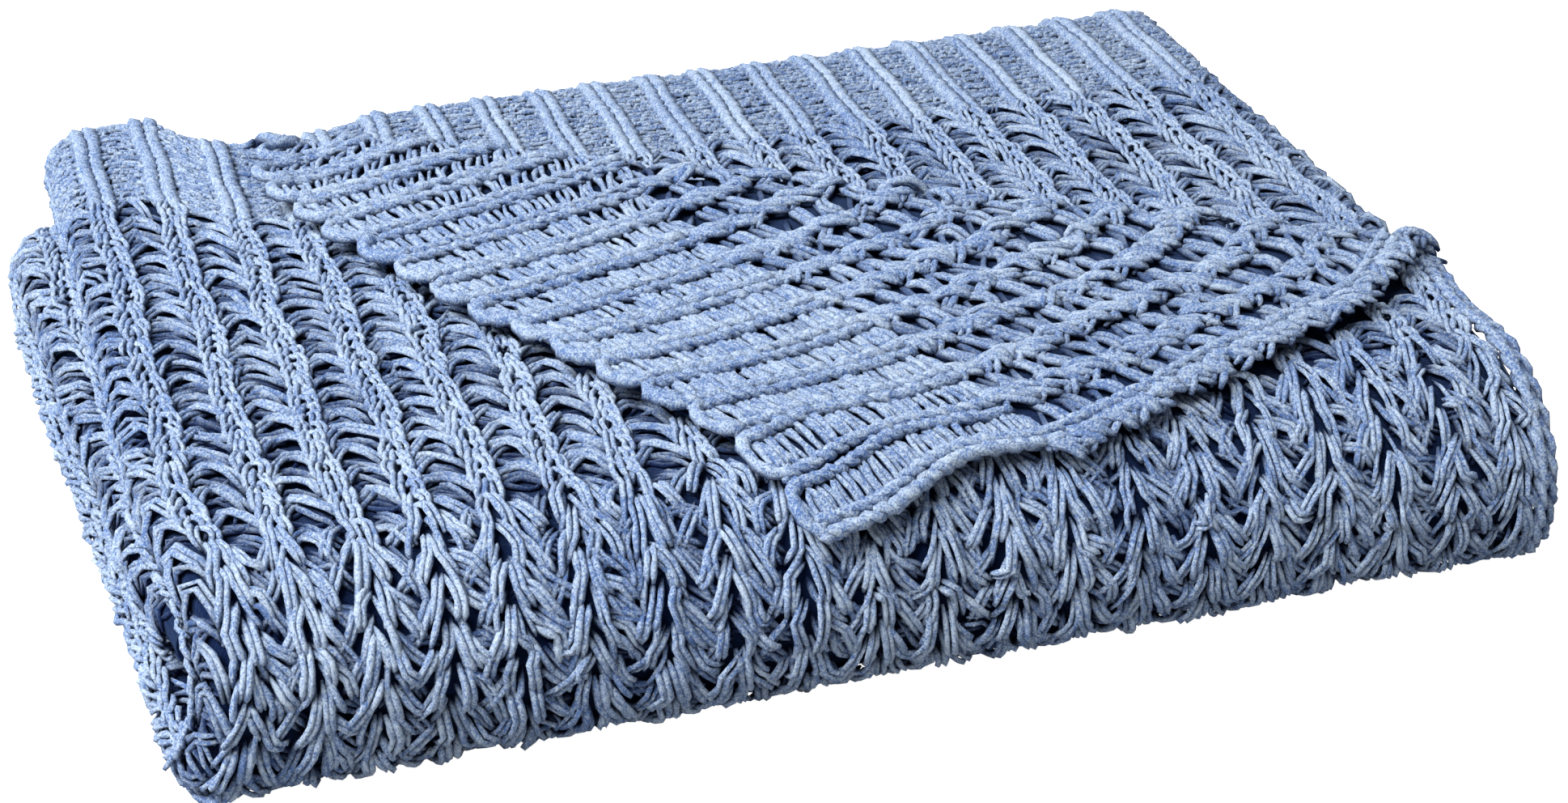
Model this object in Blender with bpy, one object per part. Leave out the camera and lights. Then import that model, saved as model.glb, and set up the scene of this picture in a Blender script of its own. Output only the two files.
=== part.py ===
"""A chunky knitted throw, folded and lying flat, with one corner turned back over the top.

Metres, +Z up. The front, a rounded fold of the full height, faces -Y, and the ribs run from back to front.
The throw is one knitted piece. It is cut here as a flat slab, and then every point of it is moved to where
the folds carry it:

  across   in thirds, the right third over the middle one, and the left third over both
  along    the strip of three layers goes forward on top, down round the front, back underneath,
           and forward again between the two, where its end is hidden
  corner   the top layer's far right corner is turned back over a diagonal roll

u is the distance from the free side edge, v the distance from the end on top, and w the height in the knit.
"""

from math import ceil, hypot, pi, radians

import bmesh
import bpy
import numpy as np

# The piece, spread out flat. The border bands at its two ends are knitted in one with it.
FLAT_WIDTH = 1.778
FLAT_LENGTH = 1.352
THICKNESS = 0.0104
RIB_PITCH = 0.0294
FIRST_RIB = 0.0176
RIB_DEPTH = 0.0028
BACK_RIB_DEPTH = 0.0020

# The folds. Layers lie a little apart.
GAP = 0.0012
STRIP_GAP = 0.0018
SIDE_EDGE_IN = 0.004  # how far the free side edge stops short of the right fold
HIDDEN_EDGE_IN = 0.006
END_IN = 0.008
TOP_BACK_Y = 0.462  # where the top starts to fall away at the back
BACK_RADIUS = 0.02
BACK_DROOP = radians(45)

# The turned corner. x and y are on the spread top layer, and the edges are where its two sides come to lie.
FOLD_START_X = 0.0836
FOLD_END_Y = 0.112
CAST_OFF_EDGE = [  # x, y
    (0.1035, 0.424),
    (0.0940, 0.365),
    (0.1085, 0.306),
    (0.1300, 0.250),
    (0.1550, 0.196),
    (0.1820, 0.146),
    (0.2100, 0.095),
    (0.2370, 0.043),
    (0.2620, -0.011),
]
SIDE_EDGE = [  # x, y
    (0.587, 0.1190),
    (0.553, 0.0800),
    (0.512, 0.0600),
    (0.470, 0.0430),
    (0.428, 0.0270),
    (0.385, 0.0145),
    (0.340, 0.0142),
    (0.302, -0.0010),
    (0.262, -0.0110),
]
PULL = 0.052  # the turned corner drags the cloth beside it forward
PULL_POWER = 1.5
PULL_REACH = 0.16
PULL_FROM_X = 0.035

# How the pile sits: skewed, leaning back, lower at the front, and looser at the left.
SKEW = 0.045
LEAN = 0.0162
LEAN_LEVEL = 0.44
LEAN_REACH = 0.15
FRONT_DROP = 0.07
FRONT_DROP_Y = 0.18
FOOT = 0.012
FOOT_POWER = 1.2
SQUAT = 0.4
SQUAT_LEVEL = 0.35
FLARE = 0.024
RIGHT_FLARE = 0.005
RIGHT_REACH = 0.05
RIGHT_SHOULDER_IN = 0.0045
RIGHT_BELOW = 0.003
CORNER_IN = 0.0135
SIDE_REACH = 0.08
SWAYS = [  # x, y, radius_x, radius_y, back
    (0.040, 0.50, 0.045, 0.10, 0.004),
    (0.100, 0.50, 0.050, 0.10, -0.016),
    (-0.010, 0.51, 0.030, 0.08, -0.020),
    (0.590, 0.50, 0.080, 0.12, 0.007),
]
WAVES = [  # x, y, radius_x, radius_y, share of the height
    (0.120, 0.43, 0.032, 0.10, -0.065),
    (0.074, 0.45, 0.030, 0.09, 0.025),
    (0.035, 0.47, 0.030, 0.05, -0.01),
]
NEAR_LEFT = (0.03, 0.05, 0.07, 0.085, 0.10, 0.115, 0.13, 0.145, 0.165)  # x of cuts where every layer follows those

# Where one stretch of the piece ends and the next begins, across and along.
STRIP = 3 * THICKNESS + 2 * GAP
MIDDLE = STRIP / 2
LEFT_RADIUS = THICKNESS + GAP
RIGHT_RADIUS = LEFT_RADIUS / 2
WIDTH = (
    FLAT_WIDTH
    + SIDE_EDGE_IN
    + HIDDEN_EDGE_IN
    + 3 * (LEFT_RADIUS + THICKNESS / 2)
    + 2 * (RIGHT_RADIUS + THICKNESS / 2)
    - pi * (LEFT_RADIUS + RIGHT_RADIUS)
) / 3
LEFT_X = LEFT_RADIUS + THICKNESS / 2
RIGHT_X = WIDTH - RIGHT_RADIUS - THICKNESS / 2
SIDE_EDGE_X = WIDTH - SIDE_EDGE_IN
U_LEFT = SIDE_EDGE_X - LEFT_X
U_MIDDLE = U_LEFT + pi * LEFT_RADIUS
U_RIGHT = U_MIDDLE + RIGHT_X - LEFT_X
U_UNDER = U_RIGHT + pi * RIGHT_RADIUS

TOP_Z = 2 * (STRIP + STRIP_GAP)
HEIGHT = TOP_Z + STRIP
FRONT_RADIUS = (TOP_Z - STRIP) / 2
FRONT_Y = FRONT_RADIUS + STRIP
FRONT_Z = (TOP_Z + STRIP) / 2
FAR_RADIUS = STRIP_GAP / 2
V_TOP = BACK_DROOP * (BACK_RADIUS + MIDDLE)
V_FRONT = V_TOP + TOP_BACK_Y - FRONT_Y
V_BOTTOM = V_FRONT + pi * (FRONT_RADIUS + MIDDLE)
FAR_TURN = pi * (FAR_RADIUS + MIDDLE)
FAR_Y = (FLAT_LENGTH - V_BOTTOM - FAR_TURN + 2 * FRONT_Y + END_IN) / 2
V_FAR = V_BOTTOM + FAR_Y - FRONT_Y
V_INSIDE = V_FAR + FAR_TURN
BACK_EDGE_Y = TOP_BACK_Y + V_TOP

# The diagonal fold: along it, and square to it towards the corner.
ROLL_RADIUS = (THICKNESS + GAP) / 2
ROLL_TURN = pi * ROLL_RADIUS
FOLD_START = np.array([FOLD_START_X, BACK_EDGE_Y])
FOLD_END = np.array([SIDE_EDGE_X, FOLD_END_Y])
FOLD_LENGTH = hypot(*(FOLD_END - FOLD_START))
FOLD_ALONG = (FOLD_END - FOLD_START) / FOLD_LENGTH
FOLD_TO_CORNER = np.array([-FOLD_ALONG[1], FOLD_ALONG[0]])
CORNER = np.array([SIDE_EDGE_X, BACK_EDGE_Y])
CORNER_AWAY = (CORNER - FOLD_START) @ FOLD_TO_CORNER
PATCH_START = np.array([FOLD_START[0] + ROLL_TURN / FOLD_TO_CORNER[0], BACK_EDGE_Y])
PATCH_END = np.array([SIDE_EDGE_X, FOLD_END[1] + ROLL_TURN / FOLD_TO_CORNER[1]])
LINE_START = PATCH_START - FOLD_TO_CORNER * ROLL_TURN
LINE_END = PATCH_END - FOLD_TO_CORNER * ROLL_TURN
UNDER_FLAP = 2.5 * THICKNESS + 2 * GAP
OVER_FLAP = UNDER_FLAP + 2 * ROLL_RADIUS


def eased(share):
    share = np.clip(share, 0, 1)
    return share * share * (3 - 2 * share)


def bump(x, y, at_x, at_y, radius_x, radius_y):
    return np.exp(-(((x - at_x) / radius_x) ** 2) - ((y - at_y) / radius_y) ** 2)


def curve(table, share):
    """A smooth line through the rows of a table of x and y."""
    rows = np.array(table)
    rows = np.vstack([2 * rows[0] - rows[1], rows, 2 * rows[-1] - rows[-2]])
    at = np.clip(share, 0, 1) * (len(table) - 1)
    row = np.minimum(at.astype(int), len(table) - 2)
    t = (at - row)[..., None]
    a, b, c, d = rows[row], rows[row + 1], rows[row + 2], rows[row + 3]
    return 0.5 * (2 * b + (c - a) * t + (2 * a - 5 * b + 4 * c - d) * t**2 + (3 * b - a - 3 * c + d) * t**3)


def across(u, w):
    """Folding in thirds: x, and the height in the strip."""
    x = SIDE_EDGE_X - u
    level = 2 * THICKNESS + 2 * GAP + w
    turn = np.clip((u - U_LEFT) / LEFT_RADIUS, 0, pi)
    radius = LEFT_RADIUS + w - THICKNESS / 2
    left = (u > U_LEFT) & (u <= U_MIDDLE)
    x = np.where(left, LEFT_X - radius * np.sin(turn), x)
    level = np.where(left, 1.5 * THICKNESS + GAP + radius * np.cos(turn), level)
    middle = (u > U_MIDDLE) & (u <= U_RIGHT)
    x = np.where(middle, LEFT_X + u - U_MIDDLE, x)
    level = np.where(middle, THICKNESS - w, level)
    turn = np.clip((u - U_RIGHT) / RIGHT_RADIUS, 0, pi)
    radius = RIGHT_RADIUS + w - THICKNESS / 2
    right = (u > U_RIGHT) & (u <= U_UNDER)
    x = np.where(right, RIGHT_X + radius * np.sin(turn), x)
    level = np.where(right, THICKNESS + GAP / 2 - radius * np.cos(turn), level)
    under = u > U_UNDER
    x = np.where(under, RIGHT_X - (u - U_UNDER), x)
    level = np.where(under, THICKNESS + GAP + w, level)
    return x, level


def along(v, level, true_level):
    """Folding the strip lengthwise: y and z. Lengths stay true at one level of the strip."""
    y = TOP_BACK_Y - (v - V_TOP)
    z = TOP_Z + level
    turn = np.clip((V_TOP - v) / (BACK_RADIUS + MIDDLE), 0, None)
    droop = v < V_TOP
    y = np.where(droop, TOP_BACK_Y + (BACK_RADIUS + level) * np.sin(turn), y)
    z = np.where(droop, TOP_Z - BACK_RADIUS + (BACK_RADIUS + level) * np.cos(turn), z)
    front_turn = FRONT_RADIUS + true_level
    turn = np.clip((v - V_FRONT) / front_turn, 0, pi)
    front = v > V_FRONT
    y = np.where(front, FRONT_Y - (FRONT_RADIUS + level) * np.sin(turn), y)
    z = np.where(front, FRONT_Z + (FRONT_RADIUS + level) * np.cos(turn), z)
    v_bottom = V_FRONT + pi * front_turn
    bottom = v > v_bottom
    y = np.where(bottom, FRONT_Y + v - v_bottom, y)
    z = np.where(bottom, STRIP - level, z)
    turn = np.clip((v - V_FAR) / (FAR_RADIUS + MIDDLE), 0, pi)
    far = v > V_FAR
    y = np.where(far, FAR_Y + (FAR_RADIUS + level) * np.sin(turn), y)
    z = np.where(far, STRIP + FAR_RADIUS - (FAR_RADIUS + level) * np.cos(turn), z)
    inside = v > V_INSIDE
    y = np.where(inside, FAR_Y - (v - V_INSIDE), y)
    z = np.where(inside, STRIP + STRIP_GAP + level, z)
    return y, z


def pull_at(distance):
    return PULL * (1 - np.clip(distance / FOLD_LENGTH, 0, 1) ** PULL_POWER)


def turned_patch(x, y, away):
    """The corner beyond the roll: ruled between the two curves that its edges follow."""
    share = np.clip((away - ROLL_TURN) / (CORNER_AWAY - ROLL_TURN), 0, 1)
    first = PATCH_START + (CORNER - PATCH_START) * share[..., None]
    last = PATCH_END + (CORNER - PATCH_END) * share[..., None]
    breadth = (last - first) @ FOLD_ALONG
    inward = (np.stack([x, y], -1) - first) @ FOLD_ALONG
    between = np.where(breadth > 1e-9, inward / np.maximum(breadth, 1e-9), 0.5)[..., None]
    cast_off, side = curve(CAST_OFF_EDGE, share), curve(SIDE_EDGE, share)
    on_line = LINE_START + between * (LINE_END - LINE_START)
    pulled = on_line - pull_at((on_line - FOLD_START) @ FOLD_ALONG)[..., None] * np.array([0, 1])
    start = np.array(CAST_OFF_EDGE[0]) + between * (np.array(SIDE_EDGE[0]) - np.array(CAST_OFF_EDGE[0]))
    return cast_off + between * (side - cast_off) + (1 - share[..., None]) * (pulled - start)


def turn_corner(x, y, level, w):
    """The spread top layer with its corner turned back: x, y, the level, and which points lie past the roll."""
    distance = (x - FOLD_START[0]) * FOLD_ALONG[0] + (y - FOLD_START[1]) * FOLD_ALONG[1]
    away = (x - FOLD_START[0]) * FOLD_TO_CORNER[0] + (y - FOLD_START[1]) * FOLD_TO_CORNER[1]
    turn = np.clip(away / ROLL_RADIUS, 0, pi)
    radius = ROLL_RADIUS + THICKNESS / 2 - w
    out = radius * np.sin(turn)
    turned_x = FOLD_START[0] + FOLD_ALONG[0] * distance + FOLD_TO_CORNER[0] * out
    turned_y = FOLD_START[1] + FOLD_ALONG[1] * distance + FOLD_TO_CORNER[1] * out - pull_at(distance)
    patch = turned_patch(x, y, away)
    past = away > ROLL_TURN
    turned_x = np.where(past, patch[..., 0], turned_x)
    turned_y = np.where(past, patch[..., 1], turned_y)
    turned = away > 0
    fade = np.exp(-((away / PULL_REACH) ** 2)) * eased((x - PULL_FROM_X) / (FOLD_START_X - PULL_FROM_X))
    return (
        np.where(turned, turned_x, x),
        np.where(turned, turned_y, y - pull_at(distance) * fade),
        np.where(turned, UNDER_FLAP + ROLL_RADIUS - radius * np.cos(turn), level),
        past,
    )


def settle(x, y, z, v):
    """The uneven lie of the pile. Heights are only scaled, so the bottom stays flat."""
    z = z * (1 - FRONT_DROP * eased((FRONT_DROP_Y - y) / FRONT_DROP_Y))
    for at_x, at_y, radius_x, radius_y, lift in WAVES:
        z = z * (1 + lift * bump(x, y, at_x, at_y, radius_x, radius_y))
    at_front = 1 - eased((y - FRONT_Y) / LEAN_REACH)
    z = z * (1 - SQUAT * eased(1 - z / (SQUAT_LEVEL * HEIGHT)) * at_front)
    below = np.clip(1 - z / (LEAN_LEVEL * HEIGHT), 0, 1)
    y = y + (LEAN * np.clip(z / HEIGHT - LEAN_LEVEL, 0, 1) - FOOT * below**FOOT_POWER) * at_front
    beside = np.exp(-((x / SIDE_REACH) ** 2))
    lower = eased((v - V_FRONT) / (V_BOTTOM - V_FRONT))
    at_corner = beside * (1 - eased(y / 0.12)) * eased(z / (0.6 * HEIGHT))
    moved = CORNER_IN * at_corner - FLARE * beside * lower * eased(y / 0.45)
    on_top = RIGHT_FLARE * eased((y - 0.1) / 0.1) - RIGHT_SHOULDER_IN * np.exp(-(((y - 0.08) / 0.05) ** 2))
    at_right = np.exp(-(((WIDTH - x) / RIGHT_REACH) ** 2))
    moved = moved + at_right * (on_top * (1 - lower) + RIGHT_BELOW * lower)
    for at_x, at_y, radius_x, radius_y, back in SWAYS:
        y = y + back * bump(x, y, at_x, at_y, radius_x, radius_y)
    return x + moved, y - SKEW * (WIDTH - x), z


def fold(u, v, w):
    """Where a point of the flat piece comes to lie."""
    x, level = across(u, w)
    flat_y = TOP_BACK_Y - (v - V_TOP)
    turned_x, turned_y, turned_level, past = turn_corner(x, flat_y, level, w)
    top_layer = u < U_LEFT
    x = np.where(top_layer, turned_x, x)
    level = np.where(top_layer, turned_level, level)
    v = np.where(top_layer, V_TOP + TOP_BACK_Y - turned_y, v)
    y, z = along(v, level, MIDDLE)
    flap_y, flap_z = along(v, level, OVER_FLAP)
    on_flap = top_layer & past
    return settle(x, np.where(on_flap, flap_y, y), np.where(on_flap, flap_z, z), v)


def ribbed(u, v, w):
    """w with the valleys between ribs pressed in, on the faces that show."""
    valley = (1 - np.cos(2 * pi * (u - FIRST_RIB) / RIB_PITCH)) / 2
    flat_x, flat_y = SIDE_EDGE_X - u, BACK_EDGE_Y - v
    away = (flat_x - FOLD_START[0]) * FOLD_TO_CORNER[0] + (flat_y - FOLD_START[1]) * FOLD_TO_CORNER[1]
    top_layer = u < U_LEFT
    turned = top_layer & (away > 0)
    edges = eased(u / (RIB_PITCH / 2)) * eased((U_LEFT - u) / (RIB_PITCH / 2))
    over = top_layer & ~turned
    shown_front = np.where(v < V_FRONT, 1, eased((V_BOTTOM - v) / (0.4 * (V_BOTTOM - V_FRONT))))
    shown_under = (u > U_UNDER) * eased((V_FRONT - v) / 0.05) * eased((u - U_UNDER) / (RIB_PITCH / 2))
    face = np.where(over, edges * shown_front, 0) + shown_under
    back = np.where(turned, edges * eased((away - ROLL_TURN) / 0.02), 0)
    return w + valley * np.where(w > THICKNESS / 2, -RIB_DEPTH * face, BACK_RIB_DEPTH * back)


def cut(flat, point, direction, low=(-1, -1), high=(9, 9)):
    """Cuts every face whose middle is in the rectangle from low to high."""
    faces = [
        face
        for face in flat.faces
        if all(low[axis] < face.calc_center_median()[axis] < high[axis] for axis in (0, 1))
    ]
    edges = {edge for face in faces for edge in face.edges}
    points = {point for face in faces for point in face.verts}
    bmesh.ops.bisect_plane(
        flat, geom=[*faces, *edges, *points], plane_co=(*point, 0), plane_no=(*direction, 0), dist=1e-6
    )


def cut_even(flat, axis, start, end, pieces, low=(-1, -1), high=(9, 9)):
    direction = (1, 0) if axis == 0 else (0, 1)
    for i in range(pieces + 1):
        at = start + (end - start) * i / pieces
        cut(flat, (at, at), direction, low, high)


def flat_piece():
    """The spread piece, cut along every line that it bends at."""
    flat = bmesh.new()
    bmesh.ops.create_cube(flat, size=1)
    size = (FLAT_WIDTH, FLAT_LENGTH, THICKNESS)
    for point in flat.verts:
        point.co = [(co + 0.5) * side for co, side in zip(point.co, size)]
    cut_even(flat, 1, 0, V_TOP, 3)
    cut_even(flat, 1, V_TOP, V_FRONT, 9)
    cut_even(flat, 1, V_FRONT, V_BOTTOM, 10)
    cut_even(flat, 1, V_BOTTOM, V_FAR, 4)
    cut_even(flat, 1, V_FAR, V_INSIDE, 6)
    cut_even(flat, 1, V_INSIDE, FLAT_LENGTH, 3)
    cut_even(flat, 0, U_LEFT, U_MIDDLE, 6)
    cut_even(flat, 0, U_MIDDLE, U_RIGHT, 3)
    cut_even(flat, 0, U_RIGHT, U_UNDER, 4)
    for x in NEAR_LEFT:
        cut(flat, (U_MIDDLE + x - LEFT_X, 0), (1, 0), (U_MIDDLE, -1), (U_RIGHT, 9))
        cut(flat, (U_UNDER + RIGHT_X - x, 0), (1, 0), (U_UNDER, -1), (9, 9))
        cut(flat, (SIDE_EDGE_X - x, 0), (1, 0), (-1, -1), (U_LEFT, 9))
    top_cuts = ceil(U_LEFT / RIB_PITCH * 2)
    for i in range(-1, top_cuts):
        cut(flat, (FIRST_RIB + i * RIB_PITCH / 2, 0), (1, 0), (-1, -1), (U_LEFT, V_BOTTOM))
    first_under = ceil((U_UNDER - FIRST_RIB) / RIB_PITCH * 2)
    last_under = ceil((FLAT_WIDTH - 0.1 - FIRST_RIB) / RIB_PITCH * 2)
    for i in range(first_under, last_under):
        cut(flat, (FIRST_RIB + i * RIB_PITCH / 2, 0), (1, 0), (U_UNDER, -1), (9, V_FRONT))
    cut_even(flat, 0, U_LEFT * 0.05, U_LEFT * 0.95, 3, (-1, V_BOTTOM), (U_LEFT, 9))
    cut_even(flat, 0, U_UNDER + 0.02, FLAT_WIDTH - 0.02, 3, (U_UNDER, V_FRONT), (9, 9))
    fold_uv = np.array([SIDE_EDGE_X - FOLD_START[0], 0])
    for i in range(5):
        at = fold_uv - FOLD_TO_CORNER * ROLL_TURN * i / 4
        cut(flat, tuple(at), tuple(FOLD_TO_CORNER), (-1, -1), (U_LEFT, V_FRONT))
    bmesh.ops.triangulate(flat, faces=flat.faces[:], quad_method="SHORT_EDGE", ngon_method="EAR_CLIP")
    return flat


def folded(flat):
    points = np.array([point.co for point in flat.verts])
    u, v, w = points.T
    x, y, z = fold(u, v, ribbed(u, v, w))
    places = np.stack([x, y, z], -1)
    middle = (places.min(0) + places.max(0)) / 2
    places -= [middle[0], middle[1], places[:, 2].min()]
    for point, place in zip(flat.verts, places):
        point.co = place


def main():
    for thing in list(bpy.data.objects):
        bpy.data.objects.remove(thing)
    flat = flat_piece()
    folded(flat)
    bmesh.ops.recalc_face_normals(flat, faces=flat.faces[:])
    mesh = bpy.data.meshes.new("blanket")
    flat.to_mesh(mesh)
    flat.free()
    knit = bpy.data.materials.new("blue chenille")
    knit.use_nodes = True
    shader = knit.node_tree.nodes["Principled BSDF"]
    shader.inputs["Base Color"].default_value = (0.17, 0.28, 0.56, 1)
    shader.inputs["Roughness"].default_value = 0.95
    mesh.materials.append(knit)
    blanket = bpy.data.objects.new("blanket", mesh)
    bpy.context.scene.collection.objects.link(blanket)
    print(len(mesh.polygons), "triangles")


main()
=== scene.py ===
# %% [markdown]
# # A chunky knitted throw, folded, with one corner turned back
#
# The real thing is one piece of openwork knitted in thick chenille yarn, with a close ribbed band at its
# end. The CAD model is that piece as a plain ribbed slab, already folded. This lesson knits it: it starts
# from the flat piece, lays thousands of short strands of yarn on it, and sends every point through the
# same folds.

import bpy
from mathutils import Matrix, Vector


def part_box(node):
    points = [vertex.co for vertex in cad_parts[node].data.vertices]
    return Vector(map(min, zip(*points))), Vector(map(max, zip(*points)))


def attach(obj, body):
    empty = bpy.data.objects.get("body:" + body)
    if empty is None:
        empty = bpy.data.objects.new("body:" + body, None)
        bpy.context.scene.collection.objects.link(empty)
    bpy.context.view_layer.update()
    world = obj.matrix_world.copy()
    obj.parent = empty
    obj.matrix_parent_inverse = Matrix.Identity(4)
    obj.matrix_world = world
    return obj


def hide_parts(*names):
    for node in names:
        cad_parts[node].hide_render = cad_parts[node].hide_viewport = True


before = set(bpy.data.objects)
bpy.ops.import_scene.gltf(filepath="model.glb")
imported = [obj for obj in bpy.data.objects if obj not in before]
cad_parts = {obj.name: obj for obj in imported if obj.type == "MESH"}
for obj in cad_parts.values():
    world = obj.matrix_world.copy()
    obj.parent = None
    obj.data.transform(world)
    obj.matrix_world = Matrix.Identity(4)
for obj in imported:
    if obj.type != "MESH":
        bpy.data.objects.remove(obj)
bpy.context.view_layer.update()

# %% What the lesson uses
from math import cos, hypot, pi, radians, sin

import bpy
import numpy as np
from mathutils import Vector

TINY = 1e-9  # keeps a division by nothing away
print("Blender", bpy.app.version_string)

# %% [markdown]
# ## The flat piece and its folds
#
# The folds are a map. A point of the flat piece is u across, from the free side edge, v along, from the
# end that lies on top, and w up through the knit. Cloth simulation could fold a sheet too, but it would
# not stop at the folds that this pile has, so each fold is written out: in thirds across, over and under
# along, and one corner turned back. The values are those of the CAD source, so the yarn lies where the
# solid is.

# %% The piece spread out flat, in metres
FLAT_WIDTH = 1.778
FLAT_LENGTH = 1.352
THICKNESS = 0.0104
RIB_PITCH = 0.0294
FIRST_RIB = 0.0176
print("flat piece", FLAT_WIDTH, "by", FLAT_LENGTH, "m,", round(FLAT_WIDTH / RIB_PITCH), "ribs")

# %% The folds, with the layers a little apart
GAP = 0.0012
STRIP_GAP = 0.0018
SIDE_EDGE_IN = 0.004  # how far the free side edge stops short of the right fold
HIDDEN_EDGE_IN = 0.006
END_IN = 0.008
TOP_BACK_Y = 0.462  # where the top starts to fall away at the back
BACK_RADIUS = 0.02
BACK_DROOP = radians(45)
print("layers lie", 1000 * GAP, "mm apart, and folded strips", 1000 * STRIP_GAP, "mm")

# %% The turned corner
# x and y are on the spread top layer. The two tables say where the corner's edges come to lie.
FOLD_START_X = 0.0836
FOLD_END_Y = 0.112
CAST_OFF_EDGE = [  # x, y
    (0.1035, 0.424),
    (0.0940, 0.365),
    (0.1085, 0.306),
    (0.1300, 0.250),
    (0.1550, 0.196),
    (0.1820, 0.146),
    (0.2100, 0.095),
    (0.2370, 0.043),
    (0.2620, -0.011),
]
SIDE_EDGE = [  # x, y
    (0.587, 0.1190),
    (0.553, 0.0800),
    (0.512, 0.0600),
    (0.470, 0.0430),
    (0.428, 0.0270),
    (0.385, 0.0145),
    (0.340, 0.0142),
    (0.302, -0.0010),
    (0.262, -0.0110),
]
PULL = 0.052  # the turned corner drags the cloth beside it forward
PULL_POWER = 1.5
PULL_REACH = 0.16
PULL_FROM_X = 0.035
print("the corner's edges pass", len(CAST_OFF_EDGE) + len(SIDE_EDGE), "given places")

# %% How the pile sits: skewed, leaning back, lower at the front, and looser at the left
SKEW = 0.045
LEAN = 0.0162
LEAN_LEVEL = 0.44
LEAN_REACH = 0.15
FRONT_DROP = 0.07
FRONT_DROP_Y = 0.18
FOOT = 0.012
FOOT_POWER = 1.2
SQUAT = 0.4
SQUAT_LEVEL = 0.35
FLARE = 0.024
FLARE_REACH = 0.45
RIGHT_FLARE = 0.005
RIGHT_FLARE_Y = 0.1
RIGHT_REACH = 0.05
RIGHT_SHOULDER_IN = 0.0045
RIGHT_SHOULDER_Y = 0.08
RIGHT_SHOULDER_REACH = 0.05
RIGHT_BELOW = 0.003
CORNER_IN = 0.0135
CORNER_REACH = 0.12
CORNER_LEVEL = 0.6
SIDE_REACH = 0.08
SWAYS = [  # x, y, radius_x, radius_y, back
    (0.040, 0.50, 0.045, 0.10, 0.004),
    (0.100, 0.50, 0.050, 0.10, -0.016),
    (-0.010, 0.51, 0.030, 0.08, -0.020),
    (0.590, 0.50, 0.080, 0.12, 0.007),
]
WAVES = [  # x, y, radius_x, radius_y, share of the height
    (0.120, 0.43, 0.032, 0.10, -0.065),
    (0.074, 0.45, 0.030, 0.09, 0.025),
    (0.035, 0.47, 0.030, 0.05, -0.01),
]
print(len(SWAYS), "sways and", len(WAVES), "waves")

# %% Where one stretch of the piece ends and the next begins, across it
STRIP = 3 * THICKNESS + 2 * GAP
MIDDLE = STRIP / 2
LEFT_RADIUS = THICKNESS + GAP
RIGHT_RADIUS = LEFT_RADIUS / 2
WIDTH = (
    FLAT_WIDTH
    + SIDE_EDGE_IN
    + HIDDEN_EDGE_IN
    + 3 * (LEFT_RADIUS + THICKNESS / 2)
    + 2 * (RIGHT_RADIUS + THICKNESS / 2)
    - pi * (LEFT_RADIUS + RIGHT_RADIUS)
) / 3
LEFT_X = LEFT_RADIUS + THICKNESS / 2
RIGHT_X = WIDTH - RIGHT_RADIUS - THICKNESS / 2
SIDE_EDGE_X = WIDTH - SIDE_EDGE_IN
U_LEFT = SIDE_EDGE_X - LEFT_X
U_MIDDLE = U_LEFT + pi * LEFT_RADIUS
U_RIGHT = U_MIDDLE + RIGHT_X - LEFT_X
U_UNDER = U_RIGHT + pi * RIGHT_RADIUS
print("the strip is", round(WIDTH, 3), "m wide and", round(STRIP, 4), "m thick")

# %% Where one stretch ends and the next begins, along it
TOP_Z = 2 * (STRIP + STRIP_GAP)
HEIGHT = TOP_Z + STRIP
FRONT_RADIUS = (TOP_Z - STRIP) / 2
FRONT_Y = FRONT_RADIUS + STRIP
FRONT_Z = (TOP_Z + STRIP) / 2
FAR_RADIUS = STRIP_GAP / 2
V_TOP = BACK_DROOP * (BACK_RADIUS + MIDDLE)
V_FRONT = V_TOP + TOP_BACK_Y - FRONT_Y
V_BOTTOM = V_FRONT + pi * (FRONT_RADIUS + MIDDLE)
FAR_TURN = pi * (FAR_RADIUS + MIDDLE)
FAR_Y = (FLAT_LENGTH - V_BOTTOM - FAR_TURN + 2 * FRONT_Y + END_IN) / 2
V_FAR = V_BOTTOM + FAR_Y - FRONT_Y
V_INSIDE = V_FAR + FAR_TURN
BACK_EDGE_Y = TOP_BACK_Y + V_TOP
print("the pile is", round(HEIGHT, 3), "m high before it settles")

# %% The diagonal fold: along it, and square to it towards the corner
ROLL_RADIUS = (THICKNESS + GAP) / 2
ROLL_TURN = pi * ROLL_RADIUS
FOLD_START = np.array([FOLD_START_X, BACK_EDGE_Y])
FOLD_END = np.array([SIDE_EDGE_X, FOLD_END_Y])
FOLD_LENGTH = hypot(*(FOLD_END - FOLD_START))
FOLD_ALONG = (FOLD_END - FOLD_START) / FOLD_LENGTH
FOLD_TO_CORNER = np.array([-FOLD_ALONG[1], FOLD_ALONG[0]])
CORNER = np.array([SIDE_EDGE_X, BACK_EDGE_Y])
CORNER_AWAY = (CORNER - FOLD_START) @ FOLD_TO_CORNER
PATCH_START = np.array([FOLD_START[0] + ROLL_TURN / FOLD_TO_CORNER[0], BACK_EDGE_Y])
PATCH_END = np.array([SIDE_EDGE_X, FOLD_END[1] + ROLL_TURN / FOLD_TO_CORNER[1]])
LINE_START = PATCH_START - FOLD_TO_CORNER * ROLL_TURN
LINE_END = PATCH_END - FOLD_TO_CORNER * ROLL_TURN
UNDER_FLAP = 2.5 * THICKNESS + 2 * GAP
OVER_FLAP = UNDER_FLAP + 2 * ROLL_RADIUS
print("the diagonal fold is", round(FOLD_LENGTH, 3), "m long")

# %% [markdown]
# ## The fold map
#
# Each function below is one fold, and takes arrays, so that a million points fold in one call. A round
# fold is an arc: as far as a point lies past the start of the bend, so far has it turned. Before the bend
# and after it the cloth is flat, and np.where picks the right one for each point.


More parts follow.
